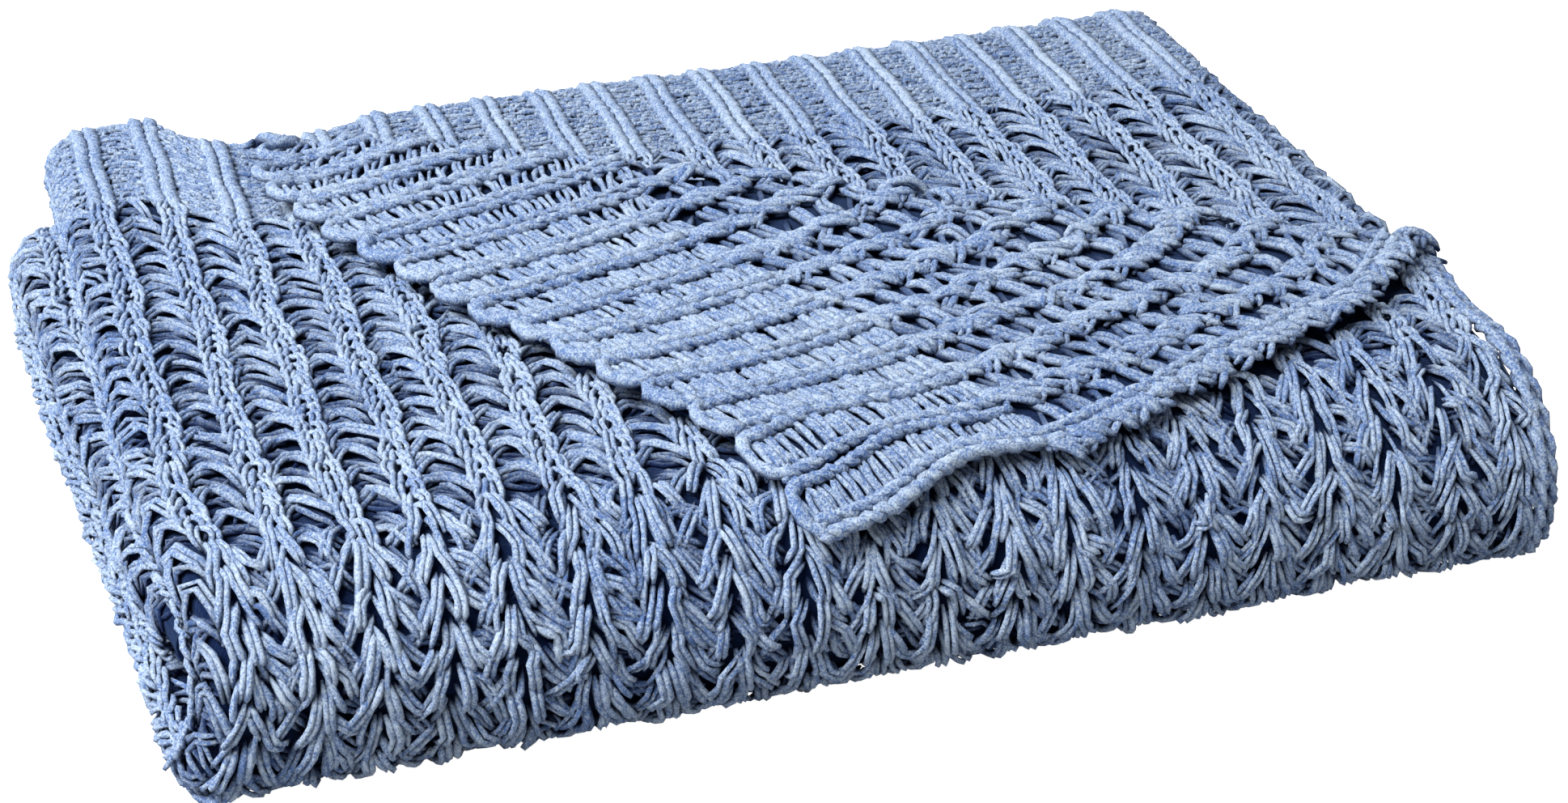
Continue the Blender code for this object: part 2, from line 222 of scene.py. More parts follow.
# %% Soft steps, bumps and smooth curves
def eased(share):
    share = np.clip(share, 0, 1)
    return share * share * (3 - 2 * share)


def bump(x, y, at_x, at_y, radius_x, radius_y):
    return np.exp(-(((x - at_x) / radius_x) ** 2) - ((y - at_y) / radius_y) ** 2)


def curve(table, share):
    """A smooth line through the rows of a table of x and y."""
    rows = np.array(table)
    rows = np.vstack([2 * rows[0] - rows[1], rows, 2 * rows[-1] - rows[-2]])
    at = np.clip(share, 0, 1) * (len(table) - 1)
    row = np.minimum(at.astype(int), len(table) - 2)
    t = (at - row)[..., None]
    a, b, c, d = rows[row], rows[row + 1], rows[row + 2], rows[row + 3]
    square = 2 * a - 5 * b + 4 * c - d
    cube = 3 * b - a - 3 * c + d
    return 0.5 * (2 * b + (c - a) * t + square * t**2 + cube * t**3)


print("a quarter of the way, a soft step has done", eased(0.25))

# %% The folds in thirds
def across(u, w):
    """Folding in thirds: x, and the height in the strip."""
    x = SIDE_EDGE_X - u
    level = 2 * THICKNESS + 2 * GAP + w
    turn = np.clip((u - U_LEFT) / LEFT_RADIUS, 0, pi)
    radius = LEFT_RADIUS + w - THICKNESS / 2
    left = (u > U_LEFT) & (u <= U_MIDDLE)
    x = np.where(left, LEFT_X - radius * np.sin(turn), x)
    level = np.where(left, 1.5 * THICKNESS + GAP + radius * np.cos(turn), level)
    middle = (u > U_MIDDLE) & (u <= U_RIGHT)
    x = np.where(middle, LEFT_X + u - U_MIDDLE, x)
    level = np.where(middle, THICKNESS - w, level)
    turn = np.clip((u - U_RIGHT) / RIGHT_RADIUS, 0, pi)
    radius = RIGHT_RADIUS + w - THICKNESS / 2
    right = (u > U_RIGHT) & (u <= U_UNDER)
    x = np.where(right, RIGHT_X + radius * np.sin(turn), x)
    level = np.where(right, THICKNESS + GAP / 2 - radius * np.cos(turn), level)
    under = u > U_UNDER
    x = np.where(under, RIGHT_X - (u - U_UNDER), x)
    level = np.where(under, THICKNESS + GAP + w, level)
    return x, level


print("the free side edge lies at x", round(float(across(0.0, 0.0)[0]), 3))

# %% The folds that lay the strip over and under
def along(v, level, true_level):
    """Folding the strip lengthwise: y and z. Lengths stay true at one level of the strip."""
    y = TOP_BACK_Y - (v - V_TOP)
    z = TOP_Z + level
    turn = np.clip((V_TOP - v) / (BACK_RADIUS + MIDDLE), 0, None)
    droop = v < V_TOP
    y = np.where(droop, TOP_BACK_Y + (BACK_RADIUS + level) * np.sin(turn), y)
    z = np.where(droop, TOP_Z - BACK_RADIUS + (BACK_RADIUS + level) * np.cos(turn), z)
    front_turn = FRONT_RADIUS + true_level
    turn = np.clip((v - V_FRONT) / front_turn, 0, pi)
    front = v > V_FRONT
    y = np.where(front, FRONT_Y - (FRONT_RADIUS + level) * np.sin(turn), y)
    z = np.where(front, FRONT_Z + (FRONT_RADIUS + level) * np.cos(turn), z)
    v_bottom = V_FRONT + pi * front_turn
    bottom = v > v_bottom
    y = np.where(bottom, FRONT_Y + v - v_bottom, y)
    z = np.where(bottom, STRIP - level, z)
    turn = np.clip((v - V_FAR) / (FAR_RADIUS + MIDDLE), 0, pi)
    far = v > V_FAR
    y = np.where(far, FAR_Y + (FAR_RADIUS + level) * np.sin(turn), y)
    z = np.where(far, STRIP + FAR_RADIUS - (FAR_RADIUS + level) * np.cos(turn), z)
    inside = v > V_INSIDE
    y = np.where(inside, FAR_Y - (v - V_INSIDE), y)
    z = np.where(inside, STRIP + STRIP_GAP + level, z)
    return y, z


print("the inner end lies at y and z", [round(float(part), 3) for part in along(FLAT_LENGTH, 0.0, MIDDLE)])

# %% [markdown]
# ## One corner turned back
#
# The corner of the top layer rolls over a diagonal line and lies on the pile with its wrong side up. A
# stiff sheet would only be mirrored in that line. Slack knit spreads as it falls, so past the roll the
# corner is ruled between two curves: where its cast-off edge comes to lie, and where its side edge does.
# The cloth beside the fold is dragged a little towards the front.


# %% The corner past the roll
def pull_at(distance):
    return PULL * (1 - np.clip(distance / FOLD_LENGTH, 0, 1) ** PULL_POWER)


def turned_patch(x, y, away):
    """The corner beyond the roll: ruled between the two curves that its edges follow."""
    share = np.clip((away - ROLL_TURN) / (CORNER_AWAY - ROLL_TURN), 0, 1)
    first = PATCH_START + (CORNER - PATCH_START) * share[..., None]
    last = PATCH_END + (CORNER - PATCH_END) * share[..., None]
    breadth = (last - first) @ FOLD_ALONG
    inward = (np.stack([x, y], -1) - first) @ FOLD_ALONG
    between = np.where(breadth > TINY, inward / np.maximum(breadth, TINY), 0.5)[..., None]
    cast_off = curve(CAST_OFF_EDGE, share)
    side = curve(SIDE_EDGE, share)
    on_line = LINE_START + between * (LINE_END - LINE_START)
    pulled = on_line - pull_at((on_line - FOLD_START) @ FOLD_ALONG)[..., None] * np.array([0, 1])
    first_row = np.array([CAST_OFF_EDGE[0], SIDE_EDGE[0]])
    start = first_row[0] + between * (first_row[1] - first_row[0])
    return cast_off + between * (side - cast_off) + (1 - share[..., None]) * (pulled - start)


print("the cloth at the start of the fold is dragged", 1000 * pull_at(0.0), "mm")

# %% The roll, and the cloth beside it
def turn_corner(x, y, level, w):
    """The top layer with its corner turned back: x, y, the level, and which points lie past the roll."""
    distance = (x - FOLD_START[0]) * FOLD_ALONG[0] + (y - FOLD_START[1]) * FOLD_ALONG[1]
    away = (x - FOLD_START[0]) * FOLD_TO_CORNER[0] + (y - FOLD_START[1]) * FOLD_TO_CORNER[1]
    turn = np.clip(away / ROLL_RADIUS, 0, pi)
    radius = ROLL_RADIUS + THICKNESS / 2 - w
    out = radius * np.sin(turn)
    turned_x = FOLD_START[0] + FOLD_ALONG[0] * distance + FOLD_TO_CORNER[0] * out
    turned_y = FOLD_START[1] + FOLD_ALONG[1] * distance + FOLD_TO_CORNER[1] * out - pull_at(distance)
    patch = turned_patch(x, y, away)
    past = away > ROLL_TURN
    turned_x = np.where(past, patch[..., 0], turned_x)
    turned_y = np.where(past, patch[..., 1], turned_y)
    turned = away > 0
    fade = np.exp(-((away / PULL_REACH) ** 2))
    fade = fade * eased((x - PULL_FROM_X) / (FOLD_START_X - PULL_FROM_X))
    return (
        np.where(turned, turned_x, x),
        np.where(turned, turned_y, y - pull_at(distance) * fade),
        np.where(turned, UNDER_FLAP + ROLL_RADIUS - radius * np.cos(turn), level),
        past,
    )


print("the roll is", round(2 * ROLL_RADIUS + THICKNESS, 4), "m thick")

# %% [markdown]
# ## A pile that has settled
#
# Real folded cloth is never square. This last step leans, flares and sways the folded pile. Heights are
# only scaled, and never moved, so that the bottom stays flat on the floor.


# %% Settle the pile, and put the folds together
def settle(x, y, z, v):
    """The uneven lie of the pile. Heights are only scaled, so the bottom stays flat."""
    z = z * (1 - FRONT_DROP * eased((FRONT_DROP_Y - y) / FRONT_DROP_Y))
    for at_x, at_y, radius_x, radius_y, lift in WAVES:
        z = z * (1 + lift * bump(x, y, at_x, at_y, radius_x, radius_y))
    at_front = 1 - eased((y - FRONT_Y) / LEAN_REACH)
    z = z * (1 - SQUAT * eased(1 - z / (SQUAT_LEVEL * HEIGHT)) * at_front)
    below = np.clip(1 - z / (LEAN_LEVEL * HEIGHT), 0, 1)
    y = y + (LEAN * np.clip(z / HEIGHT - LEAN_LEVEL, 0, 1) - FOOT * below**FOOT_POWER) * at_front
    beside = np.exp(-((x / SIDE_REACH) ** 2))
    lower = eased((v - V_FRONT) / (V_BOTTOM - V_FRONT))
    at_corner = beside * (1 - eased(y / CORNER_REACH)) * eased(z / (CORNER_LEVEL * HEIGHT))
    moved = CORNER_IN * at_corner - FLARE * beside * lower * eased(y / FLARE_REACH)
    shoulder = np.exp(-(((y - RIGHT_SHOULDER_Y) / RIGHT_SHOULDER_REACH) ** 2))
    on_top = RIGHT_FLARE * eased((y - RIGHT_FLARE_Y) / RIGHT_FLARE_Y) - RIGHT_SHOULDER_IN * shoulder
    at_right = np.exp(-(((WIDTH - x) / RIGHT_REACH) ** 2))
    moved = moved + at_right * (on_top * (1 - lower) + RIGHT_BELOW * lower)
    for at_x, at_y, radius_x, radius_y, back in SWAYS:
        y = y + back * bump(x, y, at_x, at_y, radius_x, radius_y)
    return x + moved, y - SKEW * (WIDTH - x), z


def fold(u, v, w):
    """Where a point of the flat piece comes to lie."""
    x, level = across(u, w)
    flat_y = TOP_BACK_Y - (v - V_TOP)
    turned_x, turned_y, turned_level, past = turn_corner(x, flat_y, level, w)
    top_layer = u < U_LEFT
    x = np.where(top_layer, turned_x, x)
    level = np.where(top_layer, turned_level, level)
    v = np.where(top_layer, V_TOP + TOP_BACK_Y - turned_y, v)
    y, z = along(v, level, MIDDLE)
    flap_y, flap_z = along(v, level, OVER_FLAP)
    on_flap = top_layer & past
    return settle(x, np.where(on_flap, flap_y, y), np.where(on_flap, flap_z, z), v)


flat_corner = np.zeros(1)
tip = fold(flat_corner, flat_corner, flat_corner)
print("the tip of the turned corner lies at", [round(float(part[0]), 3) for part in tip])

# %% [markdown]
# ## From the flat piece to its place
#
# The CAD solid sits with the middle of its box at the origin, so the folded piece is measured once, and
# the same shift brings every strand of yarn to it.


# %% Fold into place
def folded_face(w):
    """One face of the piece as a fine grid of points, folded."""
    across_left = np.linspace(0, U_LEFT, 60)
    across_folds = np.linspace(U_LEFT, U_UNDER, 80)
    u, v = np.meshgrid([*across_left, *across_folds, FLAT_WIDTH], np.linspace(0, FLAT_LENGTH, 400))
    return np.stack(fold(u.ravel(), v.ravel(), np.full(u.size, w)), -1)


sides = np.concatenate([folded_face(0.0), folded_face(THICKNESS)])
node_low, node_high = (np.array(corner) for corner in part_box("blanket"))
TO_ROW = (node_low + node_high) / 2 - (sides.min(0) + sides.max(0)) / 2
TO_ROW[2] = node_low[2] - sides[:, 2].min()


def place(flat):
    """Points of the flat piece, as u, v and w, folded and in the row frame."""
    return np.stack(fold(flat[..., 0], flat[..., 1], flat[..., 2]), -1) + TO_ROW


print("shift", TO_ROW.round(4), "node", node_low.round(4), node_high.round(4))

# %% [markdown]
# ## Yarn as tubes
#
# A strand is a short line of points on the flat piece with a ring of points round each. The rings are
# made after the line is folded, so that the yarn stays round where the cloth is bent. Thousands of
# strands go into one mesh, which Blender takes as plain arrays. Curve objects with a bevel would make
# tubes too, but not this many, and not lumpy ones.


# %% A mesh from arrays
def mesh_object(name, points, triangles, values):
    mesh = bpy.data.meshes.new(name)
    mesh.vertices.add(len(points))
    mesh.vertices.foreach_set("co", points.astype(np.float32).ravel())
    mesh.loops.add(triangles.size)
    mesh.loops.foreach_set("vertex_index", triangles.astype(np.int32).ravel())
    mesh.polygons.add(len(triangles))
    mesh.polygons.foreach_set("loop_start", np.arange(0, triangles.size, 3, dtype=np.int32))
    mesh.update(calc_edges=True)
    mesh.shade_smooth()
    for value, numbers in values.items():
        attribute = mesh.attributes.new(value, "FLOAT", "POINT")
        attribute.data.foreach_set("value", numbers.astype(np.float32).ravel())
    thing = bpy.data.objects.new(name, mesh)
    bpy.context.scene.collection.objects.link(thing)
    return thing


# %% The triangles of one tube
def tube_triangles(points, sides):
    """The corners of one closed tube: its wall, and a fan over each end."""
    ring, at = np.meshgrid(np.arange(points - 1), np.arange(sides), indexing="ij")
    a = ring * sides + at
    b = ring * sides + (at + 1) % sides
    wall = np.concatenate([np.stack([a, a + sides, b + sides], -1), np.stack([a, b + sides, b], -1)])
    wall = wall.reshape(-1, 3)
    fan = np.stack([np.zeros(sides - 2, int), np.arange(1, sides - 1), np.arange(2, sides)], -1)
    return np.concatenate([wall, fan, fan[:, ::-1] + (points - 1) * sides])


print("a strand of six points and four sides has", len(tube_triangles(6, 4)), "triangles")

# %% [markdown]
# ## One piece of knitting
#
# Yarn is never even: it is fatter in one place and thinner in the next, and no two strands are quite the
# same colour. So each ring of a tube is a little lumpy, each strand has its own size, and two values go
# with every point: the strand's tint, which is its own random colour plus painted light for strands on top
# and painted shade for strands that lie deeper, and how deep in the knit the point is, which the material
# turns into painted shade. The material reads both.
# The random numbers come from one seeded generator, so each run gives the same blanket.

# %% How uneven the yarn is
rng = np.random.default_rng(20)
FLOOR_CLEAR = 0.0002
LIFT_OFF = 0.0005  # a second point this far out tells which way is up
END_SIZE = 0.55  # a strand tapers where it goes behind another
RING_LUMPS = 0.3  # how much of the lumpiness goes round the whole ring
SIZE_SPREAD = 0.08
TINT_SPREAD = 0.5
pieces = []


def unit(vectors):
    return vectors / np.maximum(np.linalg.norm(vectors, axis=-1, keepdims=True), TINY)


print("sizes of strands vary by", SIZE_SPREAD, "of their radius")


# %% Gather strands into one mesh
class Knit:
    """Gathers strands for one piece."""

    def __init__(self, name, sides=6, lumps=0.30):
        self.name = name
        self.sides = sides
        self.lumps = lumps
        self.points = []
        self.triangles = []
        self.tint = []
        self.depth = []
        self.count = 0

    def add(self, lines, radius, tint=0.0, wrong_side=False):
        """Strands along lines, an array of strands by points by (u, v, w)."""
        if not len(lines):
            return
        middle = place(lines)
        along_line = unit(np.gradient(middle, axis=1))
        out = place(lines + np.array([0, 0, LIFT_OFF])) - middle
        across_line = unit(np.cross(along_line, out))
        up = np.cross(across_line, along_line)
        angle = np.arange(self.sides) * 2 * pi / self.sides
        ring = across_line[:, :, None] * np.cos(angle)[:, None]
        ring = ring + up[:, :, None] * np.sin(angle)[:, None]
        strands, points = lines.shape[:2]
        ends = np.ones(points)
        ends[[0, -1]] = END_SIZE
        lump = 1 + self.lumps * (rng.random((strands, points, self.sides)) - 0.5)
        lump = lump * (1 + RING_LUMPS * self.lumps * rng.standard_normal((strands, points, 1)))
        size = radius * (1 + SIZE_SPREAD * rng.standard_normal((strands, 1, 1))) * ends[:, None] * lump
        places = middle[:, :, None] + ring * size[..., None]
        places[..., 2] = np.maximum(places[..., 2], FLOOR_CLEAR)
        one = tube_triangles(points, self.sides)
        each = points * self.sides
        first = self.count + each * np.arange(strands)[:, None, None]
        self.triangles.append((one[None] + first).reshape(-1, 3))
        self.points.append(places.reshape(-1, 3))
        # the tint is the strand's random colour plus the painted light and shade that the caller passes in
        own = tint + TINT_SPREAD * rng.standard_normal((strands, 1))
        self.tint.append(np.repeat(own, each, 1).ravel())
        # painted shade: depth is larger on the underside of each tube and deep in the knit, and the material
        # darkens the yarn by it
        lift = -np.sin(angle) if wrong_side else np.sin(angle)
        level = THICKNESS - lines[..., 2:] if wrong_side else lines[..., 2:]
        height = level + lift * size
        self.depth.append(1 - height.ravel() / THICKNESS)
        self.count += strands * each

    def finish(self):
        triangles = np.concatenate(self.triangles)
        values = {"tint": np.concatenate(self.tint), "depth": np.concatenate(self.depth)}
        pieces.append(mesh_object(self.name, np.concatenate(self.points), triangles, values))
        print(self.name, len(triangles), "triangles")


# %% [markdown]
# ## Stitches
#
# A stitch is drawn once, as a few lines in its own cell: across in rib pitches from the rib, along in
# courses, and the height in millimetres above the hidden face. Each line is copied to every cell with a
# little unevenness. Most of this yarn is worked double, so a line becomes two plies side by side.

# %% The cells that stitches are worked in
BAND = 0.115  # how deep the ribbed band is
BAND_ROW = 0.0082
SWAY = 0.0012  # ribs sway from side to side, in the open knit alone
SWAY_LONG = 0.021
SWAY_TURN = 2.4  # each rib is at another point of its sway
LONG_COURSE = 1.2 * BAND_ROW  # a longer course than this is openwork


def cells(wales, first, last, course):
    """u, v and the length along of every cell of the wales, in rows from first to last."""
    rows = max(round((last - first) / course), 1)
    step = (last - first) / rows
    k, row = np.meshgrid(np.array(wales), np.arange(rows))
    v = first + row * step
    u = FIRST_RIB + k * RIB_PITCH
    u = u + SWAY * np.sin(v / SWAY_LONG + SWAY_TURN * k) * (step > LONG_COURSE)
    return np.stack([u, v, np.full(k.shape, step)], -1).reshape(-1, 3)


def moved_on(at, share):
    """The cells moved along by a share of their length."""
    return at + at[:, 2:] * np.array([0, share, 0])


print("a band of", round(BAND / BAND_ROW), "rows")

# %% One line of a stitch, copied to many cells
PLY = 0.00142  # radius of one ply
APART = 0.0028  # between the middles of two plies
APART_SPREAD = 0.15
RISE_SPREAD = 0.0004
UNEVEN = (0.06, 0.12, 0.7)  # across, along and in height, in the units of the tables


def stitch(table, at, points, uneven=UNEVEN, stretch=1.0, plies=2, apart=APART, wrong_side=False):
    """One line of a stitch in every cell. stretch is how much longer the folds make the cell along."""
    line = curve(table, np.linspace(0, 1, points))
    shift = rng.standard_normal((len(at), 3, 3)) * np.array(uneven)
    share = np.linspace(0, 2, points)
    low = np.minimum(share.astype(int), 1)
    wander = shift[:, low] + (shift[:, low + 1] - shift[:, low]) * (share - low)[:, None]
    local = line[None] + wander
    u = at[:, None, 0] - local[..., 0] * RIB_PITCH
    v = at[:, None, 1] + local[..., 1] * at[:, None, 2]
    height = local[..., 2] / 1000
    lines = np.stack([u, v, THICKNESS - height if wrong_side else height], -1)
    way = np.gradient(lines[..., :2], axis=1) * np.array([1, stretch])
    beside = unit(np.stack([-way[..., 1], way[..., 0]], -1)) / np.array([1, stretch])
    beside = np.concatenate([beside, np.zeros((*beside.shape[:2], 1))], -1)
    made = []
    for ply in range(plies):
        spread = 1 + APART_SPREAD * rng.standard_normal((len(at), 1, 1))
        offset = (ply - (plies - 1) / 2) * apart * spread
        rise = rng.standard_normal((len(at), 1, 1)) * np.array([0, 0, RISE_SPREAD])
        made.append(lines + beside * offset + rise)
    return np.concatenate(made)


def mirrored(table):
    return [(-a, b, h) for a, b, h in table]


def shifted(table, across, lower):
    """The same line further across, and lower in the knit."""
    return [(a + across, b, h - lower) for a, b, h in table]


print("two plies side by side are", round(1000 * (2 * PLY + APART), 2), "mm wide")

# %% [markdown]
# ## The openwork, right side
#
# On the real blanket, thin chains of knit stitches stand up as ribs, and slack double loops cross the
# valleys between them, one above another, with dark holes where they part. A picture of knitting on the
# sheet would look flat from the side, so every loop is a real strand. A rib is two rows of legs that lean
# apart, and a valley has arms over it, arms under them, and two lines far behind that close the view.

# %% Its lines: across in rib pitches, along in courses, height in millimetres
LEG = [  # across, along, height
    (0.030, -0.16, 5.6),
    (0.060, 0.12, 8.2),
    (0.100, 0.45, 9.1),
    (0.125, 0.80, 8.9),
    (0.120, 1.08, 7.4),
    (0.085, 1.30, 5.4),
]
ARM_OVER = [  # over the middle of the valley and down to the rib on the right
    (0.26, -0.02, 4.4),
    (0.40, -0.17, 6.0),
    (0.55, -0.02, 7.0),
    (0.69, 0.26, 7.2),
    (0.82, 0.55, 6.6),
    (0.92, 0.86, 5.2),
]
ARM_UNDER = [  # from the rib on the left up to the middle of the valley
    (0.06, 0.78, 4.8),
    (0.16, 0.48, 6.2),
    (0.29, 0.14, 6.9),
    (0.43, -0.12, 6.1),
    (0.57, -0.24, 4.4),
]
BEHIND = [
    (0.12, 0.52, 3.9),
    (0.36, 0.34, 4.6),
    (0.62, 0.44, 4.6),
    (0.88, 0.74, 3.9),
]
DEEPEST = [
    (0.14, 0.20, 3.4),
    (0.40, 0.72, 4.0),
    (0.60, 0.86, 3.9),
    (0.86, 0.30, 3.4),
]
print("the rib stands", max(h for a, b, h in LEG), "mm high, and the valley", max(h for a, b, h in ARM_OVER))

# %% Work the openwork into cells
IN_LIGHT = 0.2  # tints with painted light and shade: above the yarn's colour for strands on top, below it for strands that lie deeper
SET_BACK = -0.4
DEEP = -0.9
IN_SHADOW = -1.2
TIGHT = (0.035, 0.12, 0.5)
SLACK = (0.07, 0.13, 0.8)
SLACKER = (0.08, 0.14, 0.8)
ARM_SIZE = PLY * 1.08


def openwork(knit, at, points=(6, 6, 5), stretch=1.0):
    """The right side of the openwork. The rib beside the free edge has no valley after it."""
    inner = at[at[:, 0] > RIB_PITCH]
    short = at * np.array([1, 1, 0.5])
    chain = np.concatenate([short, moved_on(short, 1)])
    # the tints paint light on the legs of the ribs and shade on the arms and the strands behind them
    for table in (LEG, mirrored(LEG)):
        knit.add(stitch(table, chain, points[0], TIGHT, stretch), PLY, IN_LIGHT)
    knit.add(stitch(ARM_UNDER, inner, points[1], stretch=stretch), PLY, SET_BACK)
    lower = shifted(ARM_OVER, 0.03, 1.1)
    knit.add(stitch(lower, moved_on(inner, 0.45), points[1], SLACKER, stretch, plies=1), PLY, SET_BACK)
    knit.add(stitch(ARM_OVER, inner, points[1], SLACK, stretch), ARM_SIZE)
    knit.add(stitch(BEHIND, inner, points[2], stretch=stretch), PLY, DEEP)
    knit.add(stitch(DEEPEST, inner, points[2], stretch=stretch, plies=1), PLY, IN_SHADOW)


# %% [markdown]
# ## The openwork down the front
#
# Where the knit hangs over the front fold its own weight draws the loops out, long and steep, and they
# cross like basketwork. These are other lines, not the same ones stretched, because a drawn loop also
# closes up. On the outside of the bend the cloth is longer than at its middle, so the plies are kept
# apart by the stretched length.

# %% Its lines, drawn out long and steep
HANGING_LEG = [
    (0.035, -0.16, 4.8),
    (0.085, 0.14, 8.2),
    (0.135, 0.48, 9.0),
    (0.185, 0.80, 8.3),
    (0.215, 1.10, 6.0),
]
FALLING = [  # out of the rib on the left, down to the right
    (0.22, 0.24, 4.4),
    (0.32, 0.52, 7.4),
    (0.43, 0.78, 8.2),
    (0.54, 1.04, 7.5),
    (0.62, 1.26, 5.4),
]
RISING = [  # out of the rib on the right, down to the left
    (0.82, 0.22, 4.2),
    (0.73, 0.48, 6.9),
    (0.63, 0.74, 7.6),
    (0.52, 1.02, 6.9),
    (0.44, 1.22, 4.9),
]
FALLING_UNDER = [
    (0.34, -0.10, 4.2),
    (0.45, 0.14, 5.9),
    (0.58, 0.40, 6.2),
    (0.70, 0.66, 5.6),
    (0.80, 0.88, 4.2),
]
print("a loop falls", round(FALLING[-1][1] - FALLING[0][1], 2), "courses")

# %% Work it round the front
FRONT_STRETCH = (FRONT_RADIUS + STRIP) / (FRONT_RADIUS + MIDDLE)
HANGING = (0.065, 0.14, 0.9)
LEG_SPREAD = 1.35  # the legs underneath stand this much further from the middle of the rib


def hanging_openwork(knit, at):
    """The openwork of the front, with one more strand between every two."""
    inner = at[at[:, 0] > RIB_PITCH]
    loose = dict(uneven=HANGING, stretch=FRONT_STRETCH)
    # the tints paint shade on the strands that lie deeper and light on the legs and the falling loops on top
    knit.add(stitch(BEHIND, inner, 5, **loose), PLY, IN_SHADOW)
    knit.add(stitch(FALLING_UNDER, inner, 6, **loose), PLY, DEEP)
    for table in (HANGING_LEG, mirrored(HANGING_LEG)):
        under = [(a * LEG_SPREAD, b, h - 1.3) for a, b, h in table]
        knit.add(stitch(table, at, 7, **loose), PLY, IN_LIGHT)
        knit.add(stitch(under, moved_on(at, 0.5), 6, plies=1, **loose), PLY, -0.5)
    knit.add(stitch(RISING, inner, 6, **loose), PLY, -0.3)
    lower = shifted(FALLING, -0.08, 0.8)
    knit.add(stitch(lower, moved_on(inner, 0.42), 6, plies=1, **loose), PLY, -0.5)
    knit.add(stitch(FALLING, inner, 7, **loose), PLY, IN_LIGHT)


print("the outside of the front fold is", round(FRONT_STRETCH, 2), "times as long as its middle")

# %% [markdown]
# ## The ribbed band, right side
#
# The band at the end is knitted close. Two smooth cords of yarn run down each rib, with a dark line
# between them, and the valleys are filled with small purl bumps in staggered rows. A cord is one long
# tube that strays a little. With a twist it becomes two plies that turn round each other, which the wrong
# side needs.

# %% Its lines, and the sizes of its cords
BAR = [
    (0.10, -0.05, 5.6),
    (0.30, 0.12, 6.5),
    (0.50, 0.22, 6.7),
    (0.70, 0.12, 6.5),
    (0.90, -0.05, 5.6),
]
BUMP = [  # a purl bump: a short arch that lies across the rib
    (-0.100, 0.34, 5.4),
    (-0.045, 0.14, 6.9),
    (0.045, 0.12, 7.0),
    (0.100, 0.30, 5.4),
]
BUMPS_ACROSS = (0.25, 0.41, 0.57, 0.73)
HALF_BUMP = 0.08  # every other row is moved by half a bump
CORD_SIZE = 0.0036
CORD_ACROSS = 0.110
CORD_HEIGHT = 7.2
BAR_SIZE = 0.00145
BAR_UNEVEN = (0.012, 0.06, 0.25)
BUMP_UNEVEN = (0.016, 0.10, 0.35)
print("cords are", 2000 * CORD_SIZE, "mm thick")

# %% Cords along the ribs, straight or twisted
CORD_STEP = 0.0026
CORD_BEFORE = 0.002  # a cord starts this far before its first row
CORD_ROWS_PAST = 1.5  # and runs on past its last one
STRAY = 0.0006
STRAY_LONG = 0.011
CLIMB = 0.0002
CLIMB_LONG = 0.007
PLY_OUT = 0.50  # from the middle of a twisted cord to the middle of a ply, as a share of its size
PLY_SHARE = 0.66


def cords(knit, at, across, height, size, tint=0.0, twist=0.0, wrong_side=False):
    """A cord along each rib, over the rows of at. twist is how far one turn of two plies takes."""
    for rib in np.unique(at[:, 0].round(6)):
        rows = at[np.isclose(at[:, 0], rib)]
        last = rows[:, 1].max() + BAND_ROW * CORD_ROWS_PAST
        v = np.arange(rows[:, 1].min() - CORD_BEFORE, last, CORD_STEP)
        stray = STRAY * np.sin(2 * pi * v / BAND_ROW) + STRAY * np.sin(v / STRAY_LONG + 90 * rib)
        w = height / 1000 + CLIMB * np.sin(v / CLIMB_LONG + 50 * rib)
        turn = 2 * pi * v / max(twist, TINY)
        for side in (1, -1) if twist else (0,):
            u = rib - across * RIB_PITCH + stray + side * PLY_OUT * size * np.cos(turn)
            level = w + side * PLY_OUT * size * np.sin(turn)
            line = np.stack([u, v, THICKNESS - level if wrong_side else level], -1)
            knit.add(line[None], size * (PLY_SHARE if twist else 1), tint, wrong_side)


def band(knit, at):
    """The right side of the ribbed band: two cords at each rib, and purl bumps in the valleys."""
    inner = at[at[:, 0] > RIB_PITCH]
    # the tints paint light on the raised cords and shade on the bars low in the valleys
    for side in (1, -1):
        cords(knit, at, side * CORD_ACROSS, CORD_HEIGHT, CORD_SIZE, 0.3)
    knit.add(stitch(BAR, inner, 5, BAR_UNEVEN, plies=1), BAR_SIZE, SET_BACK)
    for across in BUMPS_ACROSS:
        for shift_across, shift_along in ((0.0, 0.0), (HALF_BUMP, 0.5)):
            table = [(a + across + shift_across, b + shift_along, h) for a, b, h in BUMP]
            knit.add(stitch(table, inner, 4, BUMP_UNEVEN, plies=1), BAR_SIZE, 0.1)


print(len(BUMPS_ACROSS) * 2, "bumps in each cell of the band")

# %% [markdown]
# ## The wrong side
#
# The turned corner lies with its wrong side up, and knitting has two different faces. In the band, a pair
# of twisted cords borders each rib, with short bars between them, and at the cast-off edge the cord goes
# round the end of the rib as a cap, which makes the scalloped edge. In the openwork, the same yarn shows
# as ropes with links between them. Heights are measured from the other face here, so one line of code
# turns a strand over.

